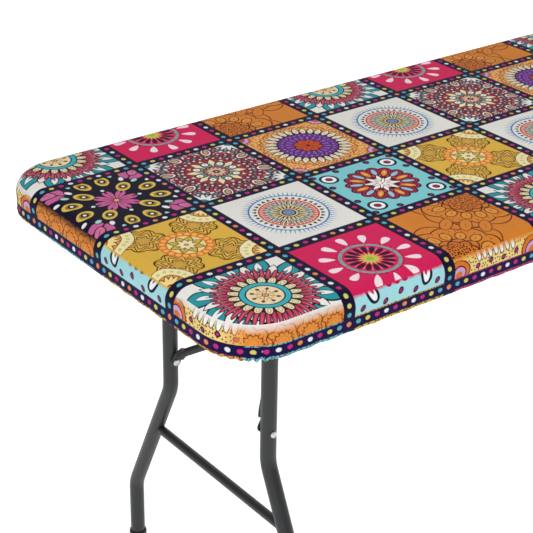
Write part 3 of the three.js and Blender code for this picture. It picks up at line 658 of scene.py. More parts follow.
def perimeter():
    """The dotted band round the vertical side, and below it a strip of other tiles that turns under the rim."""
    tile = rim_base("print_perimeter", "D9B848")
    shades = ("6FB4BA", "D2B044", "B8487A", "D08A44", "CDB24C")
    count = float(len(shades))
    blocks = tile.math("FLOORED_MODULO", tile.math("FLOOR", tile.u), count)
    tile.paint = tile.ramp(tile.math("DIVIDE", tile.add(blocks, 0.5), count),
                           [(i / count, dye(shade)) for i, shade in enumerate(shades)], constant=True)
    spread = tile.node("ShaderNodeCombineXYZ")
    tile.put(spread.inputs[0], tile.mul(tile.u, 26.0))
    tile.put(spread.inputs[1], tile.mul(tile.v, 1.7))
    cells = tile.node("ShaderNodeTexVoronoi", feature="DISTANCE_TO_EDGE", voronoi_dimensions="2D")
    cells.inputs["Scale"].default_value = 1.0
    tile.put(cells.inputs["Vector"], spread.outputs[0])
    tile.lay("3A1A2A", tile.edge(tile.sub(0.11, cells.outputs["Distance"]), 0.05))
    du = tile.fold(tile.u)
    upright = tile.near(du, BAND, BAND_SOFT)
    level = tile.near(tile.sub(tile.v, CROSSING_DOT), BAND_HALF, BAND_SOFT * 10)
    tile.lay("1A0C46", tile.math("MAXIMUM", upright, level))
    mask, shade = tile.dots(tile.math("MULTIPLY_ADD", tile.v, -1.0, CROSSING_DOT), tile.mul(du, DOTS))
    tile.lay(shade, tile.mul(mask, upright))
    mask, shade = tile.dots(tile.mul(tile.u, DOTS), tile.sub(tile.v, CROSSING_DOT))
    tile.lay(shade, mask)
    return cloth_finish(tile, courses=1 / DOTS)


LAST_COLUMN = 10
GROUNDS = {"mandala": "E9E6E2", "magenta": "D3205C", "line_art": "DB8A34", "navy": "110A28",
           "burgundy": "A5384E", "purple": "D88A38", "yellow": "DAB63E", "white": "E4E2DC", "aqua": "84CCD2"}
MOTIFS = [mandala, magenta, line_art, navy, burgundy, purple, yellow, white, aqua]
ROWS = {"A": ("mandala", "magenta", "line_art"), "B": ("navy", "burgundy", "purple"),
        "C": ("yellow", "white", "aqua")}


def motif_at(column, row):
    """The motif of a tile: rows repeat A, B, C from the far side, and every other navy tile is a white one."""
    name = ROWS["ABCA"[row]][column % 3]
    return "white" if name == "navy" and column % 6 == 3 else name


# ---- mesh helpers ----
def make_object(name, vertices, faces, smooth=True):
    mesh = bpy.data.meshes.new(name)
    mesh.from_pydata(vertices.tolist(), [], [list(f) for f in faces])
    mesh.update()
    if smooth:
        mesh.polygons.foreach_set("use_smooth", np.ones(len(mesh.polygons), bool))
    made = bpy.data.objects.new(name, mesh)
    bpy.context.scene.collection.objects.link(made)
    return made


def grid_faces(rows, columns, wrap=False):
    """Quads between a grid's neighbours, row by row; wrap closes each row on itself."""
    i = np.arange(rows - 1)[:, None]
    j = np.arange(columns if wrap else columns - 1)[None, :]
    k = (j + 1) % columns
    quads = np.stack([i * columns + j, i * columns + k, (i + 1) * columns + k, (i + 1) * columns + j], -1)
    return quads.reshape(-1, 4)


def wander(seed, turns, count):
    """A smooth closed curve: a sum of cosines of whole frequencies near turns, with random sizes and phases."""
    rng = np.random.default_rng(seed)
    t = np.linspace(0, TAU, count, endpoint=False)
    total = np.zeros(count)
    for _ in range(WAVES):
        frequency = int(turns * rng.uniform(0.55, 1.45))
        total += rng.uniform(0.4, 1.0) * np.cos(frequency * t + rng.uniform(0, TAU))
    return total / math.sqrt(WAVES)


WAVES = 7
CORNER_STEPS = 24
GRID_STEP = 0.006


def axis_places(half, corner):
    """Grid lines from -half to half: CORNER_STEPS in each corner patch, and about GRID_STEP apart between."""
    inner = half - corner
    middle = int(round(2 * inner / GRID_STEP))
    return np.concatenate([
        np.linspace(-half, -inner, CORNER_STEPS + 1),
        np.linspace(-inner, inner, middle + 1)[1:],
        np.linspace(inner, half, CORNER_STEPS + 1)[1:],
    ])


def profile(s):
    """How far out and down the cloth has gone, s along it from the flat top's edge.

    It makes a quarter turn over the rim, goes straight down, makes a quarter turn under and ends in a flat flap."""
    a = np.clip(s / RIM_RADIUS, 0, math.pi / 2)
    b = np.clip((s - WALL) / FOOT_RADIUS, 0, math.pi / 2)
    straight = np.clip(s, OVER, WALL) - OVER
    flap = np.clip(s - UNDER, 0, None)
    out = RIM_RADIUS * np.sin(a) - FOOT_RADIUS * (1 - np.cos(b)) - flap
    down = RIM_RADIUS * (1 - np.cos(a)) + straight + FOOT_RADIUS * np.sin(b)
    return out, down


class Outline:
    """The flat top's edge, counter-clockwise from the near left corner, and the print's run along each side."""

    def __init__(self):
        hx, hy = HALF_LENGTH - RIM_RADIUS, HALF_WIDTH - RIM_RADIUS
        corner = CORNER - RIM_RADIUS
        xs, ys = axis_places(hx, corner), axis_places(hy, corner)
        self.nx, self.ny = len(xs), len(ys)
        gx, gy = np.meshgrid(xs, ys)
        u = np.clip((np.abs(gx) - hx + corner) / corner, 0, 1)
        v = np.clip((np.abs(gy) - hy + corner) / corner, 0, 1)
        self.x = np.sign(gx) * (np.minimum(np.abs(gx), hx - corner) + corner * u * np.sqrt(1 - v * v / 2))
        self.y = np.sign(gy) * (np.minimum(np.abs(gy), hy - corner) + corner * v * np.sqrt(1 - u * u / 2))
        index = np.arange(self.nx * self.ny).reshape(self.ny, self.nx)
        self.loop = np.concatenate([index[0, :-1], index[:-1, -1], index[-1, :0:-1], index[:0:-1, 0]])
        self.side = np.repeat([0, 1, 2, 3], [self.nx - 1, self.ny - 1, self.nx - 1, self.ny - 1])
        p = np.stack([self.x.ravel()[self.loop], self.y.ravel()[self.loop]], 1)
        centre = np.clip(p, [-hx + corner, -hy + corner], [hx - corner, hy - corner])
        normal = p - centre
        self.normal = normal / np.linalg.norm(normal, axis=1)[:, None]
        self.p, self.centre = p, centre
        self.bend = np.minimum(np.abs(self.normal[:, 0]), np.abs(self.normal[:, 1])) * math.sqrt(2)

    def run(self, side):
        """Pitches along a side at each point of the loop, as if the whole loop belonged to that side."""
        flat = 0 if side in (0, 2) else 1
        base = self.centre[:, flat]
        start = base - FIRST_COLUMN if flat == 0 else base - ROW_SHIFT * PITCH
        towards = np.sign(base)
        angle = np.arctan2(np.abs(self.normal[:, flat]), np.abs(self.normal[:, 1 - flat]))
        scale = np.array([CORNER_SCALES[(int(a > 0), int(b > 0))] for a, b in self.centre])
        return start / PITCH + towards * angle * CORNER * scale / PITCH


def whole_dot_scale(x_positive, y_positive):
    """How much the dots' run in one corner is stretched, so that whole dots lie between its nearest crossings."""
    x = (1 if x_positive else -1) * (HALF_LENGTH - CORNER)
    y = (1 if y_positive else -1) * (HALF_WIDTH - CORNER)
    column = (x - FIRST_COLUMN) / PITCH
    row = y / PITCH - ROW_SHIFT
    along = (column - math.floor(column)) if x_positive else (math.ceil(column) - column)
    across = (row - math.floor(row)) if y_positive else (math.ceil(row) - row)
    arc = CORNER * math.pi / 2 / PITCH
    whole = round((along + across + arc) * DOTS)
    return (whole / DOTS - along - across) / arc


CORNER_SCALES = {(a, b): whole_dot_scale(a, b) for a in (0, 1) for b in (0, 1)}


def strip_dots(s, edge_pitches, outward):
    """Dot numbers down the rim, which carry on from the tiles' own dots at the frame line."""
    first = (outward * edge_pitches * DOTS) % 1.0
    share = (s - FRAME_LINE) / (CROSSING - FRAME_LINE)
    down = first + (CROSSING_DOT - first) * share
    beyond = CROSSING_DOT + (s - CROSSING) / (PITCH / DOTS)
    return np.where(s <= CROSSING, down, beyond)


def cover_levels():
    """Places along the cloth of the rings outside the flat top, some of them on the print's own lines."""
    stops = (0, FRAME_LINE, OVER, STRIP_END, WALL, UNDER, FLAP_END)
    return np.concatenate([np.linspace(start, end, count)[1:]
                           for start, end, count in zip(stops, stops[1:], (6, 6, 4, 5, 8, 7))])


def gathers(outline, s):
    """Puckers that the elastic pulls into the skirt: how far out and up they move a ring s along the cloth.

    Ripples round the loop grow from nothing under the rim to full size at the flap, deeper in the corners."""
    edge = outline.centre + outline.normal * CORNER
    arc = np.linalg.norm(np.roll(edge, -1, 0) - edge, axis=1)
    place = np.concatenate([[0], np.cumsum(arc)[:-1]]) / arc.sum()
    count = 8192
    even = np.linspace(0, 1, count, endpoint=False)
    long, short, sway = (np.interp(place, even, wander(seed, turns, count), period=1)
                         for seed, turns in ((3, 120), (5, 310), (8, 26)))
    corner = np.clip(outline.bend * 1.3, 0, 1)
    grow = np.clip((s - 0.040) / 0.036, 0, 1) ** 1.6
    amount = (0.0009 + 0.0011 * corner) * grow
    ripple = long * (1 - 0.5 * corner) + short * corner * 1.1
    out = amount * ripple + 0.0005 * sway * np.clip((s - 0.015) / 0.04, 0, 1)
    lift = amount * 0.8 * np.roll(ripple, 2) + 0.0006 * sway * grow
    hollow = 0.0012 * np.sin(math.pi * np.clip((s - 0.036) / 0.030, 0, 1))
    return out - hollow * (0.6 + 0.4 * np.tanh(sway)), lift


def cover_mesh():
    """The printed cloth as one open sheet: a grid over the flat top, and rings from its edge over the rim and under.

    The grid's corners are rounded by the square-to-disc formula (u sqrt(1 - v^2/2), v sqrt(1 - u^2/2))."""
    outline = Outline()
    slack = 0.00015 * np.sin(outline.x * 31.0) * np.cos(outline.y * 23.0) - 0.0001
    top = np.stack([outline.x.ravel(), outline.y.ravel(), (TOP + slack).ravel()], 1)
    levels = cover_levels()
    rings = []
    for s in levels:
        out, down = profile(s)
        shift, lift = gathers(outline, s)
        flat = outline.p + outline.normal * (out + shift)[:, None]
        height = TOP - down + lift * np.clip((s - 0.05) / 0.02, 0, 1)
        rings.append(np.concatenate([flat, height[:, None]], 1))
    vertices = np.concatenate([top] + rings)
    count = len(outline.loop)
    faces = [grid_faces(outline.ny, outline.nx)]
    previous = outline.loop
    for k in range(len(levels)):
        current = len(top) + k * count + np.arange(count)
        faces.append(np.stack([previous, current, np.roll(current, -1), np.roll(previous, -1)], 1))
        previous = current
    faces = np.concatenate(faces)
    made = make_object("printed_cover", vertices, faces)
    paint_cover(made, outline, levels, faces, len(top))
    return made


def paint_cover(made, outline, levels, faces, top_count):
    """Writes the print's coordinates on every face corner and gives each face the material of its tile or strip."""
    count = len(outline.loop)
    top_faces = (outline.nx - 1) * (outline.ny - 1)
    s = np.concatenate([np.zeros(top_count), np.repeat(levels, count)])
    loop_of = np.full(len(s), -1)
    loop_of[outline.loop] = np.arange(count)
    loop_of[top_count:] = np.tile(np.arange(count), len(levels))
    flat = np.stack([outline.x.ravel(), outline.y.ravel()], 1)
    rings = (outline.p[None] + outline.normal[None] * levels[:, None, None]).reshape(-1, 2)
    flat = np.concatenate([flat, rings])
    grid = np.stack([(flat[:, 0] - FIRST_COLUMN) / PITCH, flat[:, 1] / PITCH - ROW_SHIFT], 1)
    runs = [outline.run(side) for side in range(4)]
    limits = [(-HALF_WIDTH + RIM_RADIUS - FRAME_LINE) / PITCH - ROW_SHIFT,
              (HALF_LENGTH - RIM_RADIUS + FRAME_LINE - FIRST_COLUMN) / PITCH,
              (HALF_WIDTH - RIM_RADIUS + FRAME_LINE) / PITCH - ROW_SHIFT,
              (-HALF_LENGTH + RIM_RADIUS - FRAME_LINE - FIRST_COLUMN) / PITCH]
    corners = faces.ravel()
    cloth = grid[corners].copy()
    rim = np.zeros_like(cloth)
    ring_faces = np.arange(len(faces)) - top_faces
    face_level = np.where(ring_faces >= 0, ring_faces // count, -1)
    face_side = np.where(ring_faces >= 0, outline.side[ring_faces % count], -1)
    above = np.concatenate([[0], levels])
    face_s = np.where(face_level >= 0, above[np.clip(face_level, 0, None)], 0)
    is_strip = (face_level >= 0) & (face_s >= FRAME_LINE - 1e-6)
    is_foot = (face_level >= 0) & (face_s >= STRIP_END - 1e-6)
    corner_side = np.repeat(face_side, 4)
    corner_strip = np.repeat(is_strip, 4)
    for side in range(4):
        mine = corner_strip & (corner_side == side)
        along = runs[side][loop_of[corners[mine]]]
        outward = -1 if side in (0, 3) else 1
        cloth[mine] = np.stack([along, strip_dots(s[corners[mine]], limits[side], outward)], 1)
        rim[mine] = np.stack([along, (s[corners[mine]] - FRAME_LINE) / (STRIP_END - FRAME_LINE)], 1)
    for name, values in (("cloth", cloth), ("rim", rim)):
        layer = made.data.uv_layers.new(name=name)
        layer.data.foreach_set("uv", values.astype(np.float32).ravel())
    middle = grid[faces].mean(1)
    along = cloth.reshape(-1, 4, 2).mean(1)[:, 0]
    long_side = is_strip & ((face_side == 0) | (face_side == 2))
    column = np.floor(np.where(long_side, along, middle[:, 0])).astype(int)
    column = np.clip(column, 0, LAST_COLUMN)
    row_place = np.where(is_strip & ~long_side, along, middle[:, 1])
    row = np.clip(1 - np.floor(row_place), 0, 3).astype(int)
    names = [m.__name__ for m in MOTIFS]
    motif = np.array([[names.index(motif_at(c, r)) for r in range(4)] for c in range(LAST_COLUMN + 1)])
    slots = motif[column, row]
    strip = np.where(long_side, np.array([0, 1, 2])[column % 3], np.array([3, 0, 1, 3])[row]) + len(MOTIFS)
    shades = np.array([dye(GROUNDS[name]) for name in names], np.float32)
    ground = shades[slots]
    slots = np.where(is_foot, len(MOTIFS) + 4, np.where(is_strip, strip, slots))
    made.data.polygons.foreach_set("material_index", slots.astype(np.int32))
    paint = made.data.attributes.new("ground", "FLOAT_COLOR", "CORNER")
    paint.data.foreach_set("color", np.repeat(ground, 4, 0).ravel())
    for draw in MOTIFS:
        tile = draw()
        bands(tile)
        made.data.materials.append(cloth_finish(tile))
    for strip in (rim_orange(), rim_aqua(), cream_strip("print_rim_cream", False),
                  cream_strip("print_rim_corner", True), perimeter()):
        made.data.materials.append(strip)


def trim_ring(name, half_width, half_height, height, sections, pucker, ribs=0.0):
    """A flattened band round the table, TRIM_INSET inside the cloth, that swells and dips along the way.

    Its section is a superellipse: cos and sin to the power 0.6."""
    outline = Outline()
    count = len(outline.loop)
    t = np.linspace(0, TAU, count, endpoint=False)
    wave = wander(21, 230, count) * pucker
    swell = 1 + 0.35 * np.tanh(wander(22, 190, count)) + ribs * np.cos(t * count / 2)
    angle = np.linspace(0, TAU, sections, endpoint=False)
    ca, sa = np.cos(angle), np.sin(angle)
    across = half_width * np.sign(ca) * np.abs(ca) ** 0.6
    rise = half_height * np.sign(sa) * np.abs(sa) ** 0.6
    out = CORNER - TRIM_INSET + across[None, :] * (1 + 0.04 * wave[:, None] / max(pucker, 1e-9))
    flat = outline.centre[:, None, :] + outline.normal[:, None, :] * out[:, :, None]
    z = height + wave[:, None] + rise[None, :] * swell[:, None]
    points = np.concatenate([flat, z[:, :, None]], 2)
    points = np.concatenate([points, points[:1]])
    faces = grid_faces(count + 1, sections, wrap=True) % (count * sections)
    made = make_object(name, points[:-1].reshape(-1, 3), faces[:, ::-1])
    layer = made.data.uv_layers.new(name="trim")
    run = np.concatenate([[0], np.cumsum(np.linalg.norm(np.diff(outline.p, axis=0), axis=1))])
    along = np.repeat(run, sections)
    around = np.tile(np.arange(sections) / sections, count)
    corners = faces[:, ::-1].ravel()
    layer.data.foreach_set("uv", np.stack([along[corners], around[corners]], 1).astype(np.float32).ravel())
    return made


# ---- tubes, turned parts and plates ----
def bent(points, bend, steps):
    """A polyline whose corners are rounded by arcs of radius bend.

    Each arc starts bend * tan(half the turn) before its corner, or less on a short leg."""
    points = [np.array(p, float) for p in points]
    path = [points[0]]
    for before, corner, after in zip(points, points[1:], points[2:]):
        reach, onward = np.linalg.norm(before - corner), np.linalg.norm(after - corner)
        a, b = (before - corner) / reach, (after - corner) / onward
        half = math.acos(float(np.clip(a @ b, -1, 1))) / 2
        back = min(bend / math.tan(half), 0.49 * reach, 0.49 * onward)
        radius = back * math.tan(half)
        axis = (a + b) / np.linalg.norm(a + b)
        centre = corner + axis * radius / math.sin(half)
        start, end = corner + a * back - centre, corner + b * back - centre
        share = np.linspace(0, 1, steps)[:, None]
        sweep = math.pi - 2 * half
        path += list(centre + (np.sin((1 - share) * sweep) * start + np.sin(share * sweep) * end) / math.sin(sweep))
    path.append(points[-1])
    return np.array(path)


def rings_along(path, radii, sides, reference):
    """Circles of the given radii square to a path, each starting square to the reference direction."""
    tangent = np.gradient(path, axis=0)
    tangent /= np.linalg.norm(tangent, axis=1)[:, None]
    across = np.cross(tangent, reference)
    across /= np.linalg.norm(across, axis=1)[:, None]
    up = np.cross(across, tangent)
    angle = np.linspace(0, TAU, sides, endpoint=False)
    ring = np.cos(angle)[None, :, None] * across[:, None, :] - np.sin(angle)[None, :, None] * up[:, None, :]
    return path[:, None, :] + ring * np.asarray(radii, float)[:, None, None]


def capped(rings):
    """Vertices and faces of a closed tube from its rings: quads between rings and one polygon on either end."""
    rows, sides = rings.shape[:2]
    faces = grid_faces(rows, sides, wrap=True).tolist()
    faces.append(list(range(sides))[::-1])
    faces.append([(rows - 1) * sides + k for k in range(sides)])
    return rings.reshape(-1, 3), faces


def tube(path, radius, reference, sides, bevel=0.0008):
    """A round bar along a path with a small bevel at both ends."""
    first = (path[1] - path[0]) / np.linalg.norm(path[1] - path[0])
    last = (path[-1] - path[-2]) / np.linalg.norm(path[-1] - path[-2])
    path = np.concatenate([path[:1], path[:1] + first * bevel, path[1:-1], path[-1:] - last * bevel, path[-1:]])
    radii = np.full(len(path), radius)
    radii[[0, -1]] -= bevel
    return capped(rings_along(path, radii, sides, reference))


def turned(profile, foot, axis, sides=48):
    """A profile of (radius, height) pairs turned round an axis that starts at foot."""
    profile = np.array(profile, float)
    axis = np.array(axis, float)
    reference = np.array([0.0, 0.0, 1.0]) if abs(axis[2]) < 0.9 else np.array([1.0, 0.0, 0.0])
    across = np.cross(axis, reference)
    up = np.cross(across, axis)
    angle = np.linspace(0, TAU, sides, endpoint=False)
    ring = np.cos(angle)[:, None] * across - np.sin(angle)[:, None] * up
    path = np.array(foot, float) + profile[:, 1:2] * axis
    return capped(path[:, None, :] + ring[None] * profile[:, 0][:, None, None])


def joined(parts):
    """One mesh's vertices and faces from several."""
    vertices, faces, start = [], [], 0
    for points, loops in parts:
        vertices.append(points)
        faces += [[start + k for k in loop] for loop in loops]
        start += len(points)
    return np.concatenate(vertices), faces


def set_place(points, front):
    """Points of a leg set, whose +X points to the table's middle, moved to the front or turned round to the rear."""
    points = np.asarray(points, float)
    if front:
        return points + [-LEG_X, 0, 0]
    return points * [-1, -1, 1] + [LEG_X, 0, 0]


def merge_points(mesh):
    """Joins points that share one spot, so that a turned part's pole is a single point."""
    work = bmesh.new()
    work.from_mesh(mesh)
    bmesh.ops.remove_doubles(work, verts=work.verts, dist=1e-7)
    work.to_mesh(mesh)
    work.free()


def place_piece(piece, body, node):
    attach(piece, body)
    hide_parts(node)


def add_hardware(end, name, mesh, body, slot, node):
    """Makes one piece of the leg set at an end, "front" or "rear", with its edges sharp past SHARP_TURN."""
    vertices, faces = mesh
    made = make_object(f"{end}_{name}", set_place(vertices, end == "front"), faces)
    merge_points(made.data)
    made.data.set_sharp_from_angle(angle=SHARP_TURN)
    made.data.materials.append(bpy.data.materials[FINISHES[slot]])
    place_piece(made, f"{end}_{body}", f"{end}_{node}")


SHARP_TURN = math.radians(35)
FINISHES = {"powder_coat": "satin_powder_coat", "zinc": "zinc_plate", "black_plastic": "satin_black_plastic"}


# ---- the leg sets, in metres ----
LEG_X = 0.728
PIVOT_HEIGHT = 0.696
LEG_TOP_Y = 0.126
LEG_FOOT_Y = 0.236
LEG_RADIUS = 0.012
BRACE_RADIUS = 0.0065
RIVET_HEIGHT = 0.435
BRACE_REACH = 0.340
BRACE_DROP = PIVOT_HEIGHT - RIVET_HEIGHT
BRACE_ANGLE = math.atan2(BRACE_DROP, BRACE_REACH)
BRACE_LINE = math.hypot(BRACE_DROP, BRACE_REACH)
ARM_LENGTH = (BRACE_LINE - BRACE_REACH + BRACE_DROP) / 2
EYE_Y = 0.007              # inner face of a knee eye
NECK_Y = 0.0145
RIVET_EYE_Y = 0.1137
RIVET_ENDS = (0.1072, 0.1405)
RIVET_HEAD = 0.0055
RING_PLACE = ARM_LENGTH + 0.105        # middle of the lock ring, along the brace
RING_THICK = 0.0011                    # half the ring's thickness
CROSSBAR_HEIGHT = 0.286
CROSSBAR_END = 0.1694
PIVOT_END = 0.2621
X_AXIS = np.array([1.0, 0.0, 0.0])
Y_AXIS = np.array([0.0, 1.0, 0.0])


def on_brace(u, n, y):
    """Points u along the brace line from the rivet, n above it and y across."""
    c, s = math.cos(BRACE_ANGLE), math.sin(BRACE_ANGLE)
    return np.stack(np.broadcast_arrays(u * c - n * s, y, RIVET_HEIGHT + u * s + n * c), -1)


def leg_mesh(side):
    path = bent([(0, side * LEG_TOP_Y, PIVOT_HEIGHT), (0, side * LEG_TOP_Y, 0.381),
                 (0, side * LEG_FOOT_Y, 0.140), (0, side * LEG_FOOT_Y, 0.0053)], 0.065, 24)
    weld = turned([(0.0118, 0), (0.0134, 0.0012), (0.0136, 0.003), (0.0124, 0.0052), (0.0118, 0.006)],
                  (0, side * LEG_TOP_Y, 0.6815), (0, 0, 1))
    return joined([tube(path, LEG_RADIUS, X_AXIS, 48), weld])


def crossbar_mesh():
    path = np.linspace((0, -CROSSBAR_END, CROSSBAR_HEIGHT), (0, CROSSBAR_END, CROSSBAR_HEIGHT), 12)
    welds = [turned([(0.0072, 0), (0.0094, 0.0010), (0.0092, 0.0032), (0.0076, 0.0046)],
                    (0, side * 0.1595, CROSSBAR_HEIGHT), (0, side, 0)) for side in (1, -1)]
    return joined([tube(path, 0.0075, X_AXIS, 32)] + welds)


def pivot_bar_mesh():
    path = np.linspace((0, -PIVOT_END, PIVOT_HEIGHT), (0, PIVOT_END, PIVOT_HEIGHT), 12)
    return tube(path, 0.011, X_AXIS, 40)


def foot_cap_mesh(side):
    """Turned: a rounded shoe, three shallow grip ribs and a thin collar."""
    profile = [(0.0, 0), (0.0120, 0), (0.0140, 0.0009), (0.0149, 0.0028), (0.0150, 0.0048)]
    for k in range(3):
        z = 0.0085 + k * 0.0058
        profile += [(0.0149, z), (0.0143, z + 0.0006), (0.0143, z + 0.0016), (0.0148, z + 0.0022)]
    profile += [(0.0145, 0.0365), (0.0141, 0.0384), (0.0133, 0.0390), (0.0124, 0.0388), (0.0124, 0.0340)]
    return turned(profile, (0, side * LEG_FOOT_Y, 0), (0, 0, 1), 64)


def rivet_mesh(side):
    """A pin with a domed head on either end, dimpled where the rivet is rolled over."""
    start, end = RIVET_ENDS
    head = RIVET_HEAD
    low = [(0.0, 0.0007), (0.0014, 0.0006), (0.0022, 0.0001), (head * 0.62, 0.0), (head * 0.88, 0.0005),
           (head, 0.0014), (head, 0.0021), (0.003, 0.0022)]
    high = [(r, end - start - h) for r, h in low[::-1]]
    return turned(low + high, (0, side * start, RIVET_HEIGHT), (0, side, 0), 36)


def flattened_end(u, n, angle, y0, y1, rod_y):
    """A tube's flattened end: its section goes from round to a thin slot, and its plan widens to a disc at the eye."""
    share = np.linspace(0, 1, 22)
    along = 0.026 - share * 0.035
    reach = np.clip(along / 0.009, -1, 1)
    wide = np.where(along > 0, np.interp(along, [0, 0.008, 0.016, 0.026], [0.009, 0.0086, 0.0074, 0.0065]),
                    0.009 * np.sqrt(np.clip(1 - reach ** 2, 0.0004, 1)))
    plate = abs(y1 - y0) / 2
    thick = np.interp(along, [0.0, 0.012, 0.026], [plate, plate, BRACE_RADIUS * 0.98])
    middle = np.interp(along, [0.012, 0.026], [(y0 + y1) / 2, rod_y])[:, None]
    t = np.linspace(0, TAU, 28, endpoint=False)
    power = np.interp(along, [0.0, 0.012, 0.026], [0.35, 0.35, 1.0])[:, None]
    ct, st = np.cos(t)[None], np.sin(t)[None]
    w = wide[:, None] * np.sign(ct) * np.abs(ct) ** power
    h = thick[:, None] * np.sign(st) * np.abs(st) ** power
    c, s = math.cos(angle), math.sin(angle)
    uu = u + along[:, None] * c - w * s
    nn = n + along[:, None] * s + w * c
    return capped(on_brace(uu, nn, middle + h))


def arm_mesh(side):
    rise, neck = 0.5, ARM_LENGTH - 0.048
    low = RIVET_EYE_Y - 0.002 - BRACE_RADIUS
    line = [(0.011 * math.cos(rise), 0.011 * math.sin(rise), low),
            (0.020 * math.cos(rise), 0.020 * math.sin(rise), low - 0.004),
            (neck - 0.011, 0, NECK_Y + BRACE_RADIUS), (neck + 0.011, 0, NECK_Y), (ARM_LENGTH - 0.008, 0, NECK_Y)]
    path = bent([on_brace(u, n, side * y) for u, n, y in line], 0.022, 12)
    rivet_eye = flattened_end(0, 0, rise, side * RIVET_EYE_Y, side * (RIVET_EYE_Y - 0.004), side * (low - 0.004))
    knee_eye = flattened_end(ARM_LENGTH, 0, math.pi, side * EYE_Y, side * (EYE_Y + 0.004), side * NECK_Y)
    return joined([tube(path, BRACE_RADIUS, Y_AXIS, 32), rivet_eye, knee_eye])


def link_mesh():
    path = np.linspace(on_brace(ARM_LENGTH - 0.008, 0, 0), on_brace(BRACE_LINE + 0.008, 0, 0), 10)
    return tube(path, BRACE_RADIUS, Y_AXIS, 32, 0.0012)


def lock_ring_mesh():
    """A band bent into a flat oval: a section with rounded edges carried round two half circles and two straights."""
    half_height = BRACE_RADIUS + 0.0035 + RING_THICK
    half_width = NECK_Y + BRACE_RADIUS + 0.001 + RING_THICK
    flat = half_width - half_height
    t = np.linspace(0, TAU, 72, endpoint=False)
    centre_y = np.sign(np.sin(t)) * flat * np.clip(np.abs(np.sin(t)) * 40, 0, 1)
    section = np.linspace(0, TAU, 16, endpoint=False)
    cs, ss = np.cos(section), np.sin(section)
    along = 0.009 * np.sign(cs) * np.abs(cs) ** 0.25
    thick = RING_THICK * np.sign(ss) * np.abs(ss) ** 0.6
    radius = half_height + thick[None, :]
    y = centre_y[:, None] + radius * np.sin(t)[:, None]
    n = radius * np.cos(t)[:, None]
    points = on_brace(RING_PLACE + along[None, :], n, y)
    rows, sides = points.shape[:2]
    faces = grid_faces(rows + 1, sides, wrap=True) % (rows * sides)
    return points.reshape(-1, 3), faces[:, ::-1].tolist()


# ---- metal, plastic and trim finishes ----
def powder_coat(shade):
    """Satin powder coat with the fine orange-peel of the baked powder."""
    net = Net("satin_powder_coat")
    place = net.objects()
    peel = net.noise(place, 620.0, 2.0, 0.6)
    cloudy = net.noise(place, 22.0, 3.0)
    net.set(Base_Color=net.mix(tuple(c * 0.86 for c in shade[:3]) + (1.0,), shade, cloudy),
            Roughness=net.math("MULTIPLY_ADD", cloudy, 0.10, 0.36), Specular_IOR_Level=0.42,
            Normal=net.bump(peel, 0.0006, 0.35))
    return net.material


def zinc_plate():
    """Bright zinc: a cool metal with faint patches of straw and blue, and fine scratches."""
    net = Net("zinc_plate")
    place = net.objects()
    patch = net.noise(place, 90.0, 3.0)
    scratch = net.noise(place, 900.0, 2.0, 0.7)
    tint = net.ramp(patch, [(0.3, colour("AEB6C0")), (0.5, colour("C2C5C6")), (0.7, colour("C9C3AE"))])
    net.set(Base_Color=tint, Roughness=net.math("MULTIPLY_ADD", scratch, 0.20, 0.20), Metallic=1.0,
            Normal=net.bump(scratch, 0.0002, 0.3))
    return net.material


def black_plastic():
    """Moulded black plastic with a fine spark-eroded grain."""
    net = Net("satin_black_plastic")
    grain = net.noise(net.objects(), 1100.0, 1.0)
    net.set(Base_Color=colour("141416"), Roughness=net.math("MULTIPLY_ADD", grain, 0.15, 0.40),
            Normal=net.bump(grain, 0.0003, 0.4))
    return net.material


def moulded_plastic():
    """Off-white blow-moulded plastic: a pebbled skin with soft flow marks."""
    net = Net("moulded_plastic")
    place = net.objects()
    cells = net.node("ShaderNodeTexVoronoi", feature="SMOOTH_F1")
    cells.inputs["Scale"].default_value = 420.0
    net.put(cells.inputs["Vector"], place)
    flow = net.noise(place, 5.0, 4.0)
    shade = net.mix(colour("CFCBC0"), colour("DAD8D0"), flow)
    pebble = net.bump(cells.outputs["Distance"], 0.0007, 0.55)
    net.set(Base_Color=shade, Roughness=net.math("MULTIPLY_ADD", flow, 0.12, 0.46), Normal=pebble,
            Subsurface_Weight=0.04, Subsurface_Radius=(0.004, 0.004, 0.003))
    return net.material


def hem_cloth():
    """The dark casing: fine knit, a row of pale stitches along its middle, and creases across it. Its colour carries
    painted shade: darker in the creases' hollows and lighter on their ridges.
    """
    net = Net("hem_cloth")
    along, around = net.uv("trim")
    dash = net.math("LESS_THAN", net.math("FRACT", net.math("DIVIDE", along, 0.0034)), 0.68)
    stitch = net.mul(net.near(net.sub(around, 0.86), 0.012, 0.004), dash)
    crease_and_shade = net.noise(net.objects(), 260.0, 2.0)
    # painted shade: the casing's colour follows the crease relief, darker where it is low and lighter where it is high
    shade = net.mix(colour("120C26"), colour("2A1C4A"), crease_and_shade)
    shade = net.mix(shade, colour("C9C4D2"), stitch)
    ribs = net.math("SINE", net.mul(along, TAU / 0.0011))
    relief = net.add(net.mul(ribs, 0.25), net.add(crease_and_shade, stitch))
    net.set(Base_Color=shade, Roughness=0.82, Normal=net.bump(relief, 0.0005, 0.6), Sheen_Weight=0.15,
            Sheen_Roughness=0.4)
    return net.material


def elastic_tape():
    """White ribbed elastic. Its colour carries painted shade: darker in the grooves between the ribs and lighter on
    their crests.
    """
    net = Net("elastic_tape")
    rib_and_shade = net.math("SINE", net.mul(net.uv("trim")[1], TAU * 14))
    # painted shade: the tape's colour follows the rib relief, darker in the grooves and lighter on the crests
    net.set(Base_Color=net.mix(colour("C9C7C0"), colour("E6E4DE"), net.math("MULTIPLY_ADD", rib_and_shade, 0.5, 0.5)),
            Roughness=0.7, Normal=net.bump(rib_and_shade, 0.0003, 0.8))
    return net.material


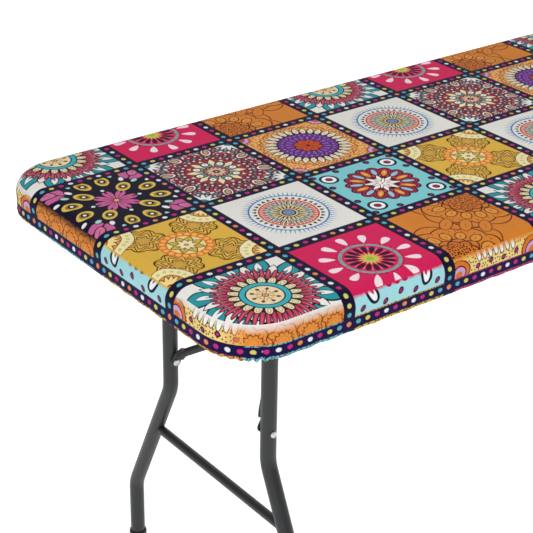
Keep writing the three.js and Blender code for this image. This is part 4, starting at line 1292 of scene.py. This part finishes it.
# ---- the add-on ----
class TableclothSettings(bpy.types.PropertyGroup):
    """Sizes and colours that can be changed before the pieces are built."""

    pucker: bpy.props.FloatProperty(
        name="Hem pucker", description="How far the elastic draws the casing up and down", default=0.0006,
        min=0.0, max=0.003, unit="LENGTH")
    metal: bpy.props.FloatVectorProperty(
        name="Powder coat", description="Colour of the legs, braces and rails", subtype="COLOR", size=4,
        default=colour("232527"), min=0.0, max=1.0)
    floor: bpy.props.FloatVectorProperty(
        name="Floor", description="Colour of the studio floor", subtype="COLOR", size=4,
        default=(0.86, 0.86, 0.86, 1.0), min=0.0, max=1.0)
    floor_glow: bpy.props.FloatProperty(
        name="Floor glow", description="Light that the lit studio floor gives off", default=0.62, min=0.0)
    key_power: bpy.props.FloatProperty(
        name="Key light", description="Power of the large softbox over the table", default=36.0, min=0.0,
        unit="POWER")
    fill_power: bpy.props.FloatProperty(
        name="Fill light", description="Power of the softbox beside the camera", default=16.0, min=0.0,
        unit="POWER")


class TABLECLOTH_OT_cover(bpy.types.Operator):
    """Builds the printed cover with its gathered hem and elastic"""

    bl_idname = "tablecloth.cover"
    bl_label = "Cover, hem and elastic"

    def execute(self, context):
        settings = context.scene.tablecloth
        cover = cover_mesh()
        hem_height = (HEM_LOW.z + HEM_HIGH.z) / 2
        hem = trim_ring("gathered_hem", 0.0068, 0.0017, hem_height, 16, settings.pucker)
        hem.data.materials.append(hem_cloth())
        elastic = trim_ring("hem_elastic", 0.0040, 0.0007, hem_height, 12, settings.pucker * 0.6, 0.12)
        elastic.data.materials.append(elastic_tape())
        place_piece(cover, "root", "cover_sheet")
        place_piece(hem, "root", "hem_casing")
        place_piece(elastic, "root", "elastic_band")
        return {"FINISHED"}


class TABLECLOTH_OT_legs(bpy.types.Operator):
    """Builds both leg sets: legs, pivot bars, crossbars, foot caps and brace rivets"""

    bl_idname = "tablecloth.legs"
    bl_label = "Leg sets"

    def execute(self, context):
        powder_coat(tuple(context.scene.tablecloth.metal))
        zinc_plate()
        black_plastic()
        for end in ("front", "rear"):
            add_hardware(end, "pivot_tube", pivot_bar_mesh(), "legs", "powder_coat", "pivot_bar")
            add_hardware(end, "cross_tube", crossbar_mesh(), "legs", "powder_coat", "crossbar")
            for hand, side in (("left", 1), ("right", -1)):
                add_hardware(end, f"leg_tube_{hand}", leg_mesh(side), "legs", "powder_coat", f"leg_{hand}")
                add_hardware(end, f"foot_{hand}", foot_cap_mesh(side), "legs", "black_plastic", f"foot_cap_{hand}")
                add_hardware(end, f"rivet_{hand}", rivet_mesh(side), "legs", "zinc", f"brace_rivet_{hand}")
        return {"FINISHED"}


class TABLECLOTH_OT_braces(bpy.types.Operator):
    """Builds both folding braces: arms, links and lock rings"""

    bl_idname = "tablecloth.braces"
    bl_label = "Folding braces"

    def execute(self, context):
        for end in ("front", "rear"):
            for hand, side in (("left", 1), ("right", -1)):
                add_hardware(end, f"arm_{hand}", arm_mesh(side), "brace", "powder_coat", f"brace_arm_{hand}")
            add_hardware(end, "link_bar", link_mesh(), "link", "powder_coat", "brace_link")
            add_hardware(end, "ring_band", lock_ring_mesh(), "ring", "zinc", "lock_ring")
        return {"FINISHED"}


class TABLECLOTH_OT_finishes(bpy.types.Operator):
    """Gives the remaining frame pieces their finishes by material slot"""

    bl_idname = "tablecloth.finishes"
    bl_label = "Finishes of the carried-over pieces"

    def execute(self, context):
        finishes = {slot: bpy.data.materials[name] for slot, name in FINISHES.items()}
        finishes["moulded_plastic"] = moulded_plastic()
        for part in frame["record"]["subparts"]:
            node = frame["nodes"][part["node"]]
            finish = finishes.get(part["material_slot"])
            if finish and not node.hide_render:
                for slot in node.material_slots:
                    slot.material = finish
        return {"FINISHED"}


def area_light(name, place, target, size, power):
    data = bpy.data.lights.new(name, "AREA")
    data.shape, data.size, data.energy = "DISK", size, power
    made = bpy.data.objects.new(name, data)
    made.location = place
    made.rotation_euler = (Vector(target) - Vector(place)).to_track_quat("-Z", "Y").to_euler()
    bpy.context.scene.collection.objects.link(made)


class TABLECLOTH_OT_stage(bpy.types.Operator):
    """Builds the floor, the softboxes, the world and the camera"""

    bl_idname = "tablecloth.stage"
    bl_label = "Stage"

    def execute(self, context):
        settings = context.scene.tablecloth
        corners = np.array([(-FLOOR, -FLOOR, 0), (FLOOR, -FLOOR, 0), (FLOOR, FLOOR, 0), (-FLOOR, FLOOR, 0)], float)
        floor = make_object("studio_floor", corners + [0, 0, -0.0005], [[0, 1, 2, 3]], smooth=False)
        net = Net("studio_floor")
        net.set(Base_Color=tuple(settings.floor), Roughness=0.9, Specular_IOR_Level=0.1,
                Emission_Color=WHITE_LIGHT, Emission_Strength=settings.floor_glow)
        floor.data.materials.append(net.material)
        context.scene.view_settings.view_transform = "Standard"
        world = bpy.data.worlds.new("studio")
        world.use_nodes = True
        sky = world.node_tree.nodes["Background"]
        sky.inputs["Color"].default_value = WHITE_LIGHT
        sky.inputs["Strength"].default_value = SKY_STRENGTH
        context.scene.world = world
        area_light("key_softbox", (-0.9, -1.0, 3.0), (0.0, 0.0, 0.7), 2.2, settings.key_power)
        area_light("fill_softbox", (-3.0, -1.6, 1.4), (-0.4, 0.0, 0.5), 1.6, settings.fill_power)
        area_light("back_softbox", (1.6, 2.6, 2.4), (0.2, 0.0, 0.7), 1.8, settings.fill_power)
        data = bpy.data.cameras.new("camera")
        data.lens, data.sensor_width = LENS, SENSOR
        data.clip_start, data.clip_end = 0.05, 100.0
        camera = bpy.data.objects.new("camera", data)
        back = Vector(CAMERA_BACK).normalized()
        level = Vector((math.cos(CAMERA_TURN), math.sin(CAMERA_TURN), 0))
        right = math.cos(CAMERA_ROLL) * level + math.sin(CAMERA_ROLL) * back.cross(level)
        up = back.cross(right)
        turn = Matrix((right, up, back)).transposed().to_4x4()
        camera.matrix_world = Matrix.Translation(CAMERA_PLACE) @ turn
        context.scene.collection.objects.link(camera)
        context.scene.camera = camera
        return {"FINISHED"}


FLOOR = 40.0               # half the side of the studio floor
WHITE_LIGHT = (1.0, 1.0, 1.0, 1.0)
SKY_STRENGTH = 0.44
SENSOR = 36.0
LENS = 101.31332           # in millimetres, as the sensor is
CAMERA_PLACE = (-1.84393, -1.55519, 1.63749)
CAMERA_BACK = (-0.54416, -0.70245, 0.45873)    # from what it looks at towards the camera
CAMERA_TURN = math.radians(-37.7641)           # bearing of its right side
CAMERA_ROLL = math.radians(0.9732)


class TABLECLOTH_PT_build(bpy.types.Panel):
    """Settings and build steps"""

    bl_idname = "TABLECLOTH_PT_build"
    bl_label = "Tablecloth"
    bl_space_type = "VIEW_3D"
    bl_region_type = "UI"
    bl_category = "Tablecloth"

    def draw(self, context):
        settings = context.scene.tablecloth
        for key in ("pucker", "metal", "floor", "floor_glow", "key_power", "fill_power"):
            self.layout.prop(settings, key)
        for step in STEPS:
            self.layout.operator(step.bl_idname)


STEPS = (TABLECLOTH_OT_cover, TABLECLOTH_OT_legs, TABLECLOTH_OT_braces, TABLECLOTH_OT_finishes,
         TABLECLOTH_OT_stage)
CLASSES = (TableclothSettings,) + STEPS + (TABLECLOTH_PT_build,)


def register():
    for made in CLASSES:
        bpy.utils.register_class(made)
    bpy.types.Scene.tablecloth = bpy.props.PointerProperty(type=TableclothSettings)


def unregister():
    del bpy.types.Scene.tablecloth
    for made in reversed(CLASSES):
        bpy.utils.unregister_class(made)


def main():
    register()
    bpy.ops.tablecloth.cover()
    bpy.ops.tablecloth.legs()
    bpy.ops.tablecloth.braces()
    bpy.ops.tablecloth.finishes()
    bpy.ops.tablecloth.stage()


if __name__ == "__main__":
    main()
